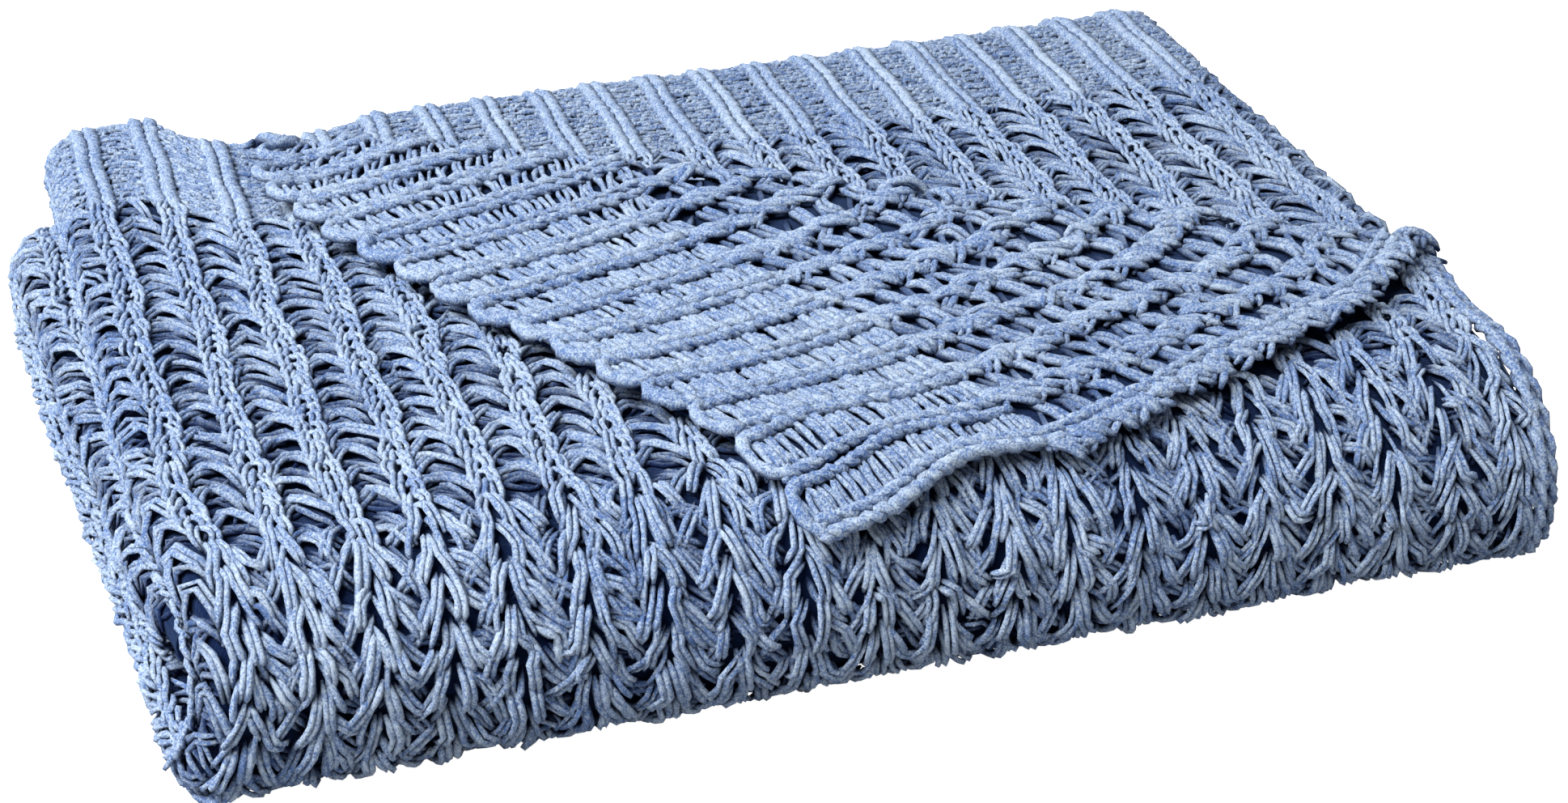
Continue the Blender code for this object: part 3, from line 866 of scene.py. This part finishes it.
# %% The lines of the wrong side
BACK_BAR = [  # across, along, height
    (-0.33, 0.08, 5.7),
    (-0.18, 0.04, 7.0),
    (0.00, 0.00, 7.4),
    (0.18, -0.03, 7.3),
    (0.36, 0.00, 6.2),
]
CAP = [  # round the end of a rib at the cast-off edge
    (-0.410, 1.60, 7.2),
    (-0.385, 0.95, 7.5),
    (-0.250, 0.38, 7.6),
    (0.000, 0.14, 7.6),
    (0.250, 0.38, 7.9),
    (0.385, 0.95, 8.1),
    (0.410, 1.60, 8.0),
]
ROPE = [  # one turn of the rope that runs along each rib
    (0.27, -0.14, 5.4),
    (0.33, 0.10, 7.9),
    (0.45, 0.40, 8.8),
    (0.58, 0.70, 8.2),
    (0.66, 0.98, 5.8),
]
ROPE_UNDER = [
    (0.68, -0.04, 5.0),
    (0.61, 0.20, 6.8),
    (0.48, 0.46, 7.4),
    (0.35, 0.74, 6.8),
    (0.28, 0.98, 5.0),
]
LINK = [
    (-0.36, -0.04, 4.8),
    (-0.18, 0.04, 6.3),
    (0.02, 0.14, 6.8),
    (0.18, 0.24, 6.3),
    (0.34, 0.36, 5.2),
]
LINK_BEHIND = [
    (-0.34, 0.86, 3.8),
    (-0.08, 0.70, 4.7),
    (0.14, 0.62, 4.9),
    (0.36, 0.60, 4.4),
]
print("a rib's end is", round(2 * max(a for a, b, h in CAP) * RIB_PITCH, 4), "m wide")

# %% Work the wrong side of the band
BACK_CORD_SIZE = 0.0033
BACK_TWIST = 0.013
UPPER_CORD = (0.400, 7.8)  # across and height
LOWER_CORD = (-0.395, 7.2)
CAP_UNEVEN = (0.03, 0.10, 0.3)
BACK_BAR_UNEVEN = (0.03, 0.12, 0.5)
BARS_AT = (0.0, 0.33, 0.67)
BARS_FROM = 0.45


def back_band(knit, at):
    """The wrong side of the band: a cap round each rib's end, pairs of cords, and three bars a row."""
    turned_over = dict(plies=1, wrong_side=True)
    first = at[:, 1] < BAND_ROW / 2
    # painted light on the upper cord and painted shade on the lower one, through their tints
    cords(knit, at[~first], *UPPER_CORD, BACK_CORD_SIZE, 0.4, BACK_TWIST, True)
    cords(knit, at[~first], *LOWER_CORD, BACK_CORD_SIZE, -0.3, BACK_TWIST, True)
    knit.add(stitch(CAP, at[first], 14, CAP_UNEVEN, **turned_over), BACK_CORD_SIZE, 0.1, True)
    for share in BARS_AT:
        later = at + np.array([0, (share + BARS_FROM) * BAND_ROW, 0])
        knit.add(stitch(BACK_BAR, later, 6, BACK_BAR_UNEVEN, **turned_over), BAR_SIZE, 0.0, True)


# %% Work the wrong side of the openwork
BACK_COURSE = 0.0139
BACK_PLY = 0.0018
BACK_APART = 0.0034
ROPE_UNEVEN = (0.06, 0.12, 0.9)
LOW_ROPE_UNEVEN = (0.07, 0.12, 0.8)


def back_openwork(knit, at):
    """The wrong side of the openwork: a rope along each rib, and short links between the ropes."""
    double = dict(apart=BACK_APART, wrong_side=True)
    single = dict(plies=1, wrong_side=True)
    lower = shifted(ROPE, 0.0, 0.7)
    # the tints paint shade on the links behind and light on the ropes on top
    knit.add(stitch(LINK_BEHIND, at, 5, **single), BACK_PLY, DEEP, True)
    knit.add(stitch(ROPE_UNDER, at, 6, **double), BACK_PLY, -0.5, True)
    knit.add(stitch(LINK, at, 6, **double), BACK_PLY, -0.2, True)
    knit.add(stitch(lower, moved_on(at, 0.5), 7, LOW_ROPE_UNEVEN, **single), BACK_PLY, 0.0, True)
    knit.add(stitch(ROPE, at, 8, ROPE_UNEVEN, **double), BACK_PLY, IN_LIGHT, True)


# %% [markdown]
# ## Which cells show
#
# Most of the piece is inside the pile. Strands are only made where they show: outside the turned corner's
# outline on top, beyond its roll on the layer below, and on the folds. Whether a cell lies inside an
# outline is found as it would be on paper: a line from it to the right crosses the outline an odd number
# of times.


# %% Past the diagonal fold, or not
def past_fold(at):
    """How far past the diagonal fold a cell of the flat piece is."""
    x = SIDE_EDGE_X - at[:, 0]
    y = BACK_EDGE_Y - at[:, 1]
    return (x - FOLD_START[0]) * FOLD_TO_CORNER[0] + (y - FOLD_START[1]) * FOLD_TO_CORNER[1]


print("the corner itself is", round(float(past_fold(np.zeros((1, 2)))[0]), 3), "m past the fold")

# %% Under the turned corner, or not
U_FOLD = SIDE_EDGE_X - FOLD_START_X
V_FOLD = BACK_EDGE_Y - FOLD_END_Y
cast_off_edge = np.stack([np.linspace(U_FOLD, 0, 40), np.zeros(40), np.zeros(40)], -1)
side_edge = np.stack([np.zeros(30), np.linspace(0, V_FOLD, 30), np.zeros(30)], -1)
outline = place(np.concatenate([cast_off_edge, side_edge]))[:, :2]


def covered(at, margin):
    """True for cells that are deeper than margin inside the turned corner's outline."""
    here = place(np.concatenate([at[:, :2], np.full((len(at), 1), THICKNESS)], -1))[:, :2]
    a = outline
    b = np.roll(outline, -1, 0)
    across_y = (a[:, 1] > here[:, None, 1]) != (b[:, 1] > here[:, None, 1])
    rise = np.where(a[:, 1] == b[:, 1], TINY, b[:, 1] - a[:, 1])
    meets = a[:, 0] + (here[:, None, 1] - a[:, 1]) / rise * (b[:, 0] - a[:, 0])
    inside = (across_y & (here[:, None, 0] < meets)).sum(1) % 2 == 1
    share = ((here[:, None] - a) * (b - a)).sum(-1) / np.maximum(((b - a) ** 2).sum(-1), TINY)
    nearest = a + np.clip(share, 0, 1)[..., None] * (b - a)
    away = np.linalg.norm(here[:, None] - nearest, axis=-1).min(1)
    return inside & (away > margin)


print("the turned corner's outline has", len(outline), "points")

# %% Bare on the layer below, or not
UNDER_ROLL = 0.012  # the layer below is knitted on this far under the roll


def exposed_below(at):
    """True for cells of the layer below that the turned corner leaves bare."""
    x = RIGHT_X - (at[:, 0] - U_UNDER)
    y = BACK_EDGE_Y - at[:, 1]
    distance = (x - FOLD_START[0]) * FOLD_ALONG[0] + (y - FOLD_START[1]) * FOLD_ALONG[1]
    y = y + pull_at(distance)
    away = (x - FOLD_START[0]) * FOLD_TO_CORNER[0] + (y - FOLD_START[1]) * FOLD_TO_CORNER[1]
    return away > -UNDER_ROLL

# %% [markdown]
# ## Knitting the pieces
#
# Each stretch of the blanket is a mesh of its own: the band and the openwork on top, the front, the layer
# below, the corner, the folds and the edges. One mesh would do, but smaller ones are easier to look at
# one by one. The top comes first. Its strands stop a little way under the turned corner, where nobody can
# see them end.

# %% Knit the top and the front
COURSE = 0.017
FRONT_COURSE = 0.0130
FRONT_END = V_BOTTOM + 1.6 * FRONT_COURSE  # the front's rows go on a little way under the blanket
EDGE_IN = 0.014
BAND_SIDES = 5
BAND_LUMPS = 0.16
wales = range(20)


def knit_piece(name, at, work, sides=4, lumps=0.30):
    """One piece of the blanket: one kind of work in all its cells."""
    knit = Knit(name, sides, lumps)
    work(knit, at)
    knit.finish()
    print(name, len(at), "cells")


def bare_on_top(at):
    return at[(past_fold(at) < 0) & ~covered(at, EDGE_IN)]


knit_piece("top_band", bare_on_top(cells(wales, 0, BAND, BAND_ROW)), band, BAND_SIDES, BAND_LUMPS)
knit_piece("top_openwork", bare_on_top(cells(wales, BAND, V_FRONT, COURSE)), openwork)
knit_piece("front_openwork", cells(wales, V_FRONT, FRONT_END, FRONT_COURSE), hanging_openwork)

# %% [markdown]
# ## The layer below
#
# The corner that is turned back leaves a triangle of the next layer bare, at the back on the right. It is
# the last third of the same piece, folded in under the first, so the same band runs along its back edge,
# and it is knitted with the same two functions.

# %% Knit the layer below, where the corner leaves it bare
wales_below = range(41, 60)


def bare_below(at):
    return at[exposed_below(at) & ~covered(at, EDGE_IN)]


knit_piece("below_band", bare_below(cells(wales_below, 0, BAND, BAND_ROW)), band, BAND_SIDES, BAND_LUMPS)
knit_piece("below_openwork", bare_below(cells(wales_below, BAND, V_FRONT, COURSE)), openwork)

# %% [markdown]
# ## The turned corner
#
# This is the piece that the eye goes to. Its ropes start a little before the diagonal fold, so that the
# roll is covered too when the blanket is seen from behind. Two twisted cords lie along the free side
# edge, where the real knitting has its selvedge.

# %% Knit the turned corner, wrong side up
BEFORE_FOLD = 0.014
BACK_LUMPS = 0.42
wales_turned = range(0, 18)

at = cells(wales_turned, 0, BAND, BAND_ROW)
knit_piece("corner_band", at[past_fold(at) > -BEFORE_FOLD], back_band, BAND_SIDES, BACK_LUMPS)

# %% Knit its side edge and its openwork
SIDE_CORD = 0.0032
OUTER_TWIST = 0.017
INNER_TWIST = 0.015
ROPE_START = 0.006
ROPE_PAST_FOLD = 0.02
EDGE_PAST_FOLD = 0.006
LAST_OPENWORK = V_FOLD + 0.02

side_rope = Knit("side_rope")
at = cells([0], ROPE_START, V_FOLD, BAND_ROW)
at = at[past_fold(at) > ROPE_PAST_FOLD]
# IN_LIGHT paints these cords paler, a painted highlight
cords(side_rope, at, 0.40, 6.6, SIDE_CORD, IN_LIGHT, OUTER_TWIST, True)
cords(side_rope, at, 0.22, 7.8, SIDE_CORD, IN_LIGHT, INNER_TWIST, True)
side_rope.finish()

at = cells(wales_turned, BAND, LAST_OPENWORK, BACK_COURSE)
at = at[past_fold(at) > np.where(at[:, 0] < RIB_PITCH, EDGE_PAST_FOLD, -BEFORE_FOLD)]
knit_piece("corner_openwork", at, back_openwork, 5)

# %% [markdown]
# ## The folds
#
# At the left, at the right and at the back the layers turn over. What shows there is a narrow strip of
# each layer, with the same stitches going round the bend. They are seen small and from the side, so each
# strand has one point less.

# %% Knit the folds at the left, the right and the back
FEWER_POINTS = (5, 5, 4)
END_CLEAR = 0.01
LEFT_OF_TOP = FIRST_RIB + 19.5 * RIB_PITCH  # the ribs of the top end here
BACK_FOLD_COURSE = 0.0105
BACK_FOLD_FROM = V_FAR - 0.02
FAR_STRETCH = (FAR_RADIUS + STRIP) / (FAR_RADIUS + MIDDLE)

left_fold = Knit("left_fold", 4)
at = cells([19, 20, 21], BAND, FLAT_LENGTH - END_CLEAR, COURSE)
at = at[(at[:, 0] > LEFT_OF_TOP) | (at[:, 1] > V_BOTTOM)]
openwork(left_fold, at, FEWER_POINTS)
band(left_fold, cells([20, 21], 0, BAND, BAND_ROW))
left_fold.finish()

right_fold = Knit("right_fold", 4)
at = cells([40, 41], BAND, FLAT_LENGTH - END_CLEAR, COURSE)
openwork(right_fold, at, FEWER_POINTS)
band(right_fold, cells([40, 41], 0, BAND, BAND_ROW))
right_fold.finish()

back_fold = Knit("back_fold", 4)
at = cells(wales, BACK_FOLD_FROM, V_INSIDE + END_CLEAR, BACK_FOLD_COURSE)
openwork(back_fold, at, FEWER_POINTS, FAR_STRETCH)
back_fold.finish()

# %% [markdown]
# ## The edges
#
# Casting off leaves a row of small loops round the ends of the ribs, and the side of the knitting rolls
# into a selvedge. Both hide where the strands end. The loops are the caps of the wrong side, set lower,
# one row for the ribs and one for the valleys between them.

# %% Bind the cast-off ends and the free side edge
EDGE_LOWER = 4.2
LOOP_UNEVEN = (0.02, 0.05, 0.3)
RIB_LOOP_SIZE = CORD_SIZE * 0.8
VALLEY_LOOP_SIZE = CORD_SIZE * 0.7
EDGE_OUTER_TWIST = 0.018
EDGE_INNER_TWIST = 0.016
EDGE_CLEAR = 0.012
EDGE_TO_FOLD = 0.004

edge = Knit("edges")
loop = shifted(CAP, 0.0, EDGE_LOWER)
at = cells(range(60), 0, BAND_ROW, BAND_ROW)
at = at[past_fold(at) < 0]
edge.add(stitch(loop, at, 12, LOOP_UNEVEN, plies=1), RIB_LOOP_SIZE)
at = at + np.array([RIB_PITCH / 2, 0, 0])
edge.add(stitch(mirrored(loop), at, 12, LOOP_UNEVEN, plies=1), VALLEY_LOOP_SIZE)
at = cells([0], 0, FLAT_LENGTH - EDGE_CLEAR, BAND_ROW)
at = at[past_fold(at) < EDGE_TO_FOLD]
# IN_LIGHT paints these cords paler, a painted highlight
cords(edge, at, 0.55, 5.2, SIDE_CORD, IN_LIGHT, EDGE_OUTER_TWIST)
cords(edge, at, 0.36, 7.0, SIDE_CORD, IN_LIGHT, EDGE_INNER_TWIST)
edge.finish()

# %% Knit what shows inside the front fold
INSIDE_COURSE = 0.022
inside = Knit("inside_front", 4)
at = cells([22, 23, 24, 37, 38, 39], V_FRONT, V_BOTTOM, INSIDE_COURSE)
openwork(inside, at, FEWER_POINTS)
inside.finish()

# %% [markdown]
# ## The shadowed inside
#
# Behind the strands is more of the same yarn, in shadow. A thin sheet on the same folds stands for it, so
# that no light comes through the pile. It is a grid with its lines close together where the cloth bends,
# moved to where the fold map says, and Solidify gives it a thickness. Past the diagonal fold it changes
# to the other face, since there the yarn lies on its wrong side.


# %% Where the lines of the grid go
def lines_between(stops, counts):
    """So many lines on each stretch from one stop to the next."""
    parts = [np.linspace(a, b, count)[:-1] for a, b, count in zip(stops, stops[1:], counts)]
    return np.concatenate([*parts, stops[-1:]])


SIDE_IN = 0.009
HIDDEN_SIDE_IN = 0.002
CAST_OFF_IN = 0.008
stops_u = [SIDE_IN, U_LEFT, U_MIDDLE, U_RIGHT, U_UNDER, FLAT_WIDTH - HIDDEN_SIDE_IN]
stops_v = [CAST_OFF_IN, V_TOP, V_FRONT, V_BOTTOM, V_FAR, V_INSIDE, FLAT_LENGTH]
lines_u = lines_between(stops_u, [58, 9, 24, 7, 58])
lines_v = lines_between(stops_v, [4, 44, 13, 14, 9, 12])
print("a grid of", len(lines_u), "by", len(lines_v), "lines")

# %% Fold the sheet behind the yarn
SHEET_IN = 0.0022
SHEET_THICK = 0.0014
TURN_OVER = 0.004  # how near to the diagonal fold the sheet changes from one face to the other

bpy.ops.object.select_all(action="DESELECT")
bpy.ops.mesh.primitive_grid_add(x_subdivisions=len(lines_u) - 1, y_subdivisions=len(lines_v) - 1, size=1)
sheet = bpy.context.active_object
sheet.name = sheet.data.name = "knit_sheet"
flat = np.array([point.co for point in sheet.data.vertices])
column = np.round((flat[:, 0] + 0.5) * (len(lines_u) - 1)).astype(int)
row = np.round((flat[:, 1] + 0.5) * (len(lines_v) - 1)).astype(int)
at = np.stack([lines_u[column], lines_v[row]], -1)
turned = (at[:, 0] < U_LEFT) * eased((past_fold(at) + TURN_OVER) / (2 * TURN_OVER))
height = SHEET_IN + (THICKNESS - 2 * SHEET_IN) * turned
places = place(np.concatenate([at, height[:, None]], -1))
sheet.data.vertices.foreach_set("co", places.astype(np.float32).ravel())
sheet.data.update()
sheet.data.attributes.new("depth", "FLOAT", "POINT")
solidify = sheet.modifiers.new("thickness", "SOLIDIFY")
solidify.thickness = SHEET_THICK
solidify.offset = 0
bpy.ops.object.modifier_apply(modifier=solidify.name)
print("sheet", len(sheet.data.polygons), "faces")

# %% [markdown]
# ## Chenille
#
# Chenille is a thread with short pile all round it, like a soft brush. It has no shine. From near it is a
# fine grain: pale where the tips of the pile face the light, dark between them. The grain could be real
# fibres, but there would be millions, so it is noise that drives both the colour and a bump. Both
# materials below use the same grain, so it is one node group with its own inputs and outputs.


# %% A helper that adds a node with its values
def node(tree, kind, place_at, **values):
    made = tree.nodes.new(kind)
    made.location = place_at
    for name, value in values.items():
        if hasattr(made, name):
            setattr(made, name, value)
        else:
            made.inputs[name.replace("_", " ")].default_value = value
    return made


print("materials so far:", len(bpy.data.materials))

# %% The grain of the pile, as a node group with named inputs and outputs
PILE_SCALE = 1000.0  # turns of the noise in a metre, so a grain is about a millimetre
CLUMP_SCALE = 330.0
WEAR_SCALE = 14.0
PILE_SHARE = 0.75
CLUMP_SHARE = 0.25
TINT_SHARE = 0.035
WEAR_SHARE = 0.12

grain = bpy.data.node_groups.new("chenille_grain", "ShaderNodeTree")
grain.interface.new_socket("Vector", in_out="INPUT", socket_type="NodeSocketVector")
for name in ("Grain Scale", "Clump Scale", "Tint"):
    grain.interface.new_socket(name, in_out="INPUT", socket_type="NodeSocketFloat")
for name in ("Tone", "Height"):
    grain.interface.new_socket(name, in_out="OUTPUT", socket_type="NodeSocketFloat")
given = node(grain, "NodeGroupInput", (-900, 0))
made = node(grain, "NodeGroupOutput", (500, 0))
pile = node(grain, "ShaderNodeTexNoise", (-600, 250), Detail=3.0, Roughness=0.75)
clump = node(grain, "ShaderNodeTexNoise", (-600, 0), Detail=2.0)
wear = node(grain, "ShaderNodeTexNoise", (-600, -250), Detail=2.0, Scale=WEAR_SCALE)
for noise in (pile, clump, wear):
    grain.links.new(given.outputs["Vector"], noise.inputs["Vector"])
grain.links.new(given.outputs["Grain Scale"], pile.inputs["Scale"])
grain.links.new(given.outputs["Clump Scale"], clump.inputs["Scale"])
print("three noises in the grain group")


# %% Add up its noises: clumps and pile for the height, and tint and wear on top for the tone
def share_plus(value, share, added, place_at):
    """A node that adds a share of one value to another."""
    summed = node(grain, "ShaderNodeMath", place_at, operation="MULTIPLY_ADD")
    summed.inputs[1].default_value = share
    grain.links.new(value, summed.inputs[0])
    grain.links.new(added, summed.inputs[2])
    return summed.outputs[0]


clumped = node(grain, "ShaderNodeMath", (-350, 0), operation="MULTIPLY")
clumped.inputs[1].default_value = CLUMP_SHARE
grain.links.new(clump.outputs["Fac"], clumped.inputs[0])
height = share_plus(pile.outputs["Fac"], PILE_SHARE, clumped.outputs[0], (-150, 150))
tinted = share_plus(given.outputs["Tint"], TINT_SHARE, height, (50, 0))
worn = share_plus(wear.outputs["Fac"], WEAR_SHARE, tinted, (250, -100))
grain.links.new(worn, made.inputs["Tone"])
grain.links.new(height, made.inputs["Height"])
print("grain group with", len(grain.nodes), "nodes")

# %% [markdown]
# ## The yarn's material, with painted shade
#
# The grain picks a colour between the roots of the pile and its tips. The strand's depth in the knit then
# darkens it with painted shade, which stands for the light that falls between real loops and is lost there.
# A little sheen brightens the yarn where it turns away from the eye, which is what short pile does. The
# values that are the same all over go straight on the shader.

# %% The chenille material
PILE_BUMP = 0.0022
ROOTS_AT = 0.46  # where on the grain's scale the colours of the roots and the tips are reached
TIPS_AT = 0.66
SHADE_FROM = 0.14  # depths in the knit between which painted shade darkens the yarn
SHADE_TO = 0.64


def chenille(name, shade, roots, tips):
    """Velvety yarn, from roots to tips over the grain, and towards painted shade where it is deep in the
    knit.
    """
    material = bpy.data.materials.new(name)
    material.use_nodes = True
    tree = material.node_tree
    shader = tree.nodes["Principled BSDF"]
    shader.inputs["Roughness"].default_value = 0.92
    shader.inputs["Specular IOR Level"].default_value = 0.05
    shader.inputs["Sheen Weight"].default_value = 0.15
    shader.inputs["Sheen Roughness"].default_value = 0.45
    shader.inputs["Sheen Tint"].default_value = (0.35, 0.55, 1.0, 1)
    where = node(tree, "ShaderNodeTexCoord", (-1100, 200))
    # the tint attribute carries painted light and shade as well as the strand's random colour
    tint = node(tree, "ShaderNodeAttribute", (-1100, -50), attribute_name="tint")
    depth = node(tree, "ShaderNodeAttribute", (-1100, -300), attribute_name="depth")
    fuzz = node(tree, "ShaderNodeGroup", (-850, 150), node_tree=grain)
    fuzz.inputs["Grain Scale"].default_value = PILE_SCALE
    fuzz.inputs["Clump Scale"].default_value = CLUMP_SCALE
    tree.links.new(where.outputs["Object"], fuzz.inputs["Vector"])
    tree.links.new(tint.outputs["Fac"], fuzz.inputs["Tint"])
    ramp = node(tree, "ShaderNodeValToRGB", (-600, 200))
    ramp.color_ramp.elements[0].position = ROOTS_AT
    ramp.color_ramp.elements[0].color = (*roots, 1)
    ramp.color_ramp.elements[1].position = TIPS_AT
    ramp.color_ramp.elements[1].color = (*tips, 1)
    tree.links.new(fuzz.outputs["Tone"], ramp.inputs["Fac"])
    # painted shade: the depth attribute mixes the yarn towards the shade colour
    shadow = node(tree, "ShaderNodeMapRange", (-600, -200), interpolation_type="SMOOTHSTEP")
    shadow.inputs["From Min"].default_value = SHADE_FROM
    shadow.inputs["From Max"].default_value = SHADE_TO
    tree.links.new(depth.outputs["Fac"], shadow.inputs["Value"])
    mix = node(tree, "ShaderNodeMix", (-250, 100), data_type="RGBA")
    tree.links.new(shadow.outputs["Result"], mix.inputs[0])
    tree.links.new(ramp.outputs["Color"], mix.inputs[6])
    mix.inputs[7].default_value = (*shade, 1)
    tree.links.new(mix.outputs[2], shader.inputs["Base Color"])
    bump = node(tree, "ShaderNodeBump", (-250, -300), Strength=1.0, Distance=PILE_BUMP)
    tree.links.new(fuzz.outputs["Height"], bump.inputs["Height"])
    tree.links.new(bump.outputs["Normal"], shader.inputs["Normal"])
    return material


# %% Two yarns: the one that shows, and the same in the dark of the pile
yarn = chenille(
    "blue_chenille",
    shade=(0.001, 0.006, 0.045),
    roots=(0.095, 0.180, 0.42),
    tips=(0.56, 0.67, 0.80),
)
# painted shade: the sheet's near-black colours stand for the yarn deep in the shade of the pile
shadowed = chenille(
    "shadowed_chenille",
    shade=(0.001, 0.005, 0.034),
    roots=(0.002, 0.008, 0.042),
    tips=(0.004, 0.014, 0.06),
)
for thing in pieces:
    thing.data.materials.append(yarn)
sheet.data.materials.append(shadowed)
print("yarn on", len(pieces), "pieces")

# %% [markdown]
# ## What each piece stands for
#
# The blanket has no joints, so everything rides on one body. The sheet and its yarn replace the plain CAD
# solid.

# %% Tell the frame what each piece is
for thing in [sheet, *pieces]:
    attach(thing, "root")
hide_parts("blanket")
print("the sheet and", len(pieces), "pieces of yarn stand for the blanket")

# %% [markdown]
# ## The floor
#
# A photograph for a shop is often taken on white and has no shadow. A white floor would do the same, but
# it would light the underside of every loop. This one is a plain grey that looks white to the camera
# alone: Light Path tells a ray from the camera from one that only carries light.

# %% Floor
FLOOR_SIZE = 12
FLOOR_GREY = (0.45, 0.45, 0.45, 1)

bpy.ops.object.select_all(action="DESELECT")
bpy.ops.mesh.primitive_plane_add(size=FLOOR_SIZE)
floor = bpy.context.active_object
floor.name = "floor"
pale = bpy.data.materials.new("pale_floor")
pale.use_nodes = True
surface = pale.node_tree.nodes["Principled BSDF"]
surface.inputs["Base Color"].default_value = FLOOR_GREY
surface.inputs["Roughness"].default_value = 0.9
surface.inputs["Specular IOR Level"].default_value = 0.0
surface.inputs["Emission Color"].default_value = (1, 1, 1, 1)
seen = pale.node_tree.nodes.new("ShaderNodeLightPath")
pale.node_tree.links.new(seen.outputs["Is Camera Ray"], surface.inputs["Emission Strength"])
floor.data.materials.append(pale)
print("a floor of", FLOOR_SIZE, "m")

# %% [markdown]
# ## The light
#
# Knitting needs light from one side, or its relief is lost. A wide soft sun comes over the left shoulder
# and leaves the far side of each loop dark, a window at the left adds a softer light from near, and a dim
# white world keeps the shadows from going black.

# %% Light
WORLD_STRENGTH = 0.23
SUN_STRENGTH = 3.0
SUN_WIDE = radians(25)
SUN_FROM = (-0.48, -0.34, 1.0)
WINDOW_WATTS = 37
WINDOW_SIZE = 0.7
WINDOW_AT = (-1.3, -0.25, 1.3)

world = bpy.data.worlds.new("studio")
world.use_nodes = True
world.node_tree.nodes["Background"].inputs["Color"].default_value = (1, 1, 1, 1)
world.node_tree.nodes["Background"].inputs["Strength"].default_value = WORLD_STRENGTH
bpy.context.scene.world = world
bpy.context.scene.view_settings.view_transform = "Standard"

sun = bpy.data.lights.new("sun", "SUN")
sun.energy = SUN_STRENGTH
sun.angle = SUN_WIDE
sunlight = bpy.data.objects.new("sun", sun)
sunlight.rotation_euler = Vector(SUN_FROM).to_track_quat("Z", "Y").to_euler()
window = bpy.data.lights.new("window", "AREA")
window.energy = WINDOW_WATTS
window.size = WINDOW_SIZE
daylight = bpy.data.objects.new("window", window)
daylight.location = WINDOW_AT
daylight.rotation_euler = daylight.location.to_track_quat("Z", "Y").to_euler()
for light in (sunlight, daylight):
    bpy.context.scene.collection.objects.link(light)
print("a sun of", SUN_STRENGTH, "and a window of", WINDOW_WATTS, "W")

# %% [markdown]
# ## The camera
#
# It stands in front, a little to the left and above, with a lens slightly longer than a normal one. The
# place was worked out from the edges of the folded pile, so that the picture frames it as the photograph
# does.

# %% Camera
AZIMUTH = radians(-16.76)
ELEVATION = radians(27.66)
DISTANCE = 1.53211
FOCAL = 72.86
SENSOR_WIDTH = 36
AIM_ON_MAP = np.array([0.32699, 0.25403, 0])
aim = Vector(AIM_ON_MAP + TO_ROW * np.array([1, 1, 0]))
back = Vector((sin(AZIMUTH) * cos(ELEVATION), -cos(AZIMUTH) * cos(ELEVATION), sin(ELEVATION)))
lens = bpy.data.cameras.new("camera")
lens.lens = FOCAL
lens.sensor_width = SENSOR_WIDTH
lens.sensor_fit = "HORIZONTAL"
camera = bpy.data.objects.new("camera", lens)
camera.location = aim + back * DISTANCE
camera.rotation_euler = back.to_track_quat("Z", "Y").to_euler()
bpy.context.scene.collection.objects.link(camera)
bpy.context.scene.camera = camera
print("camera at", [round(part, 3) for part in camera.location])

# %% [markdown]
# ## How many triangles it came to
#
# Yarn may stand a little proud of the solid. The last cell counts the triangles of yarn.

# %% Triangles, and the end
total = sum(len(thing.data.polygons) for thing in pieces)
print(total, "triangles of yarn")
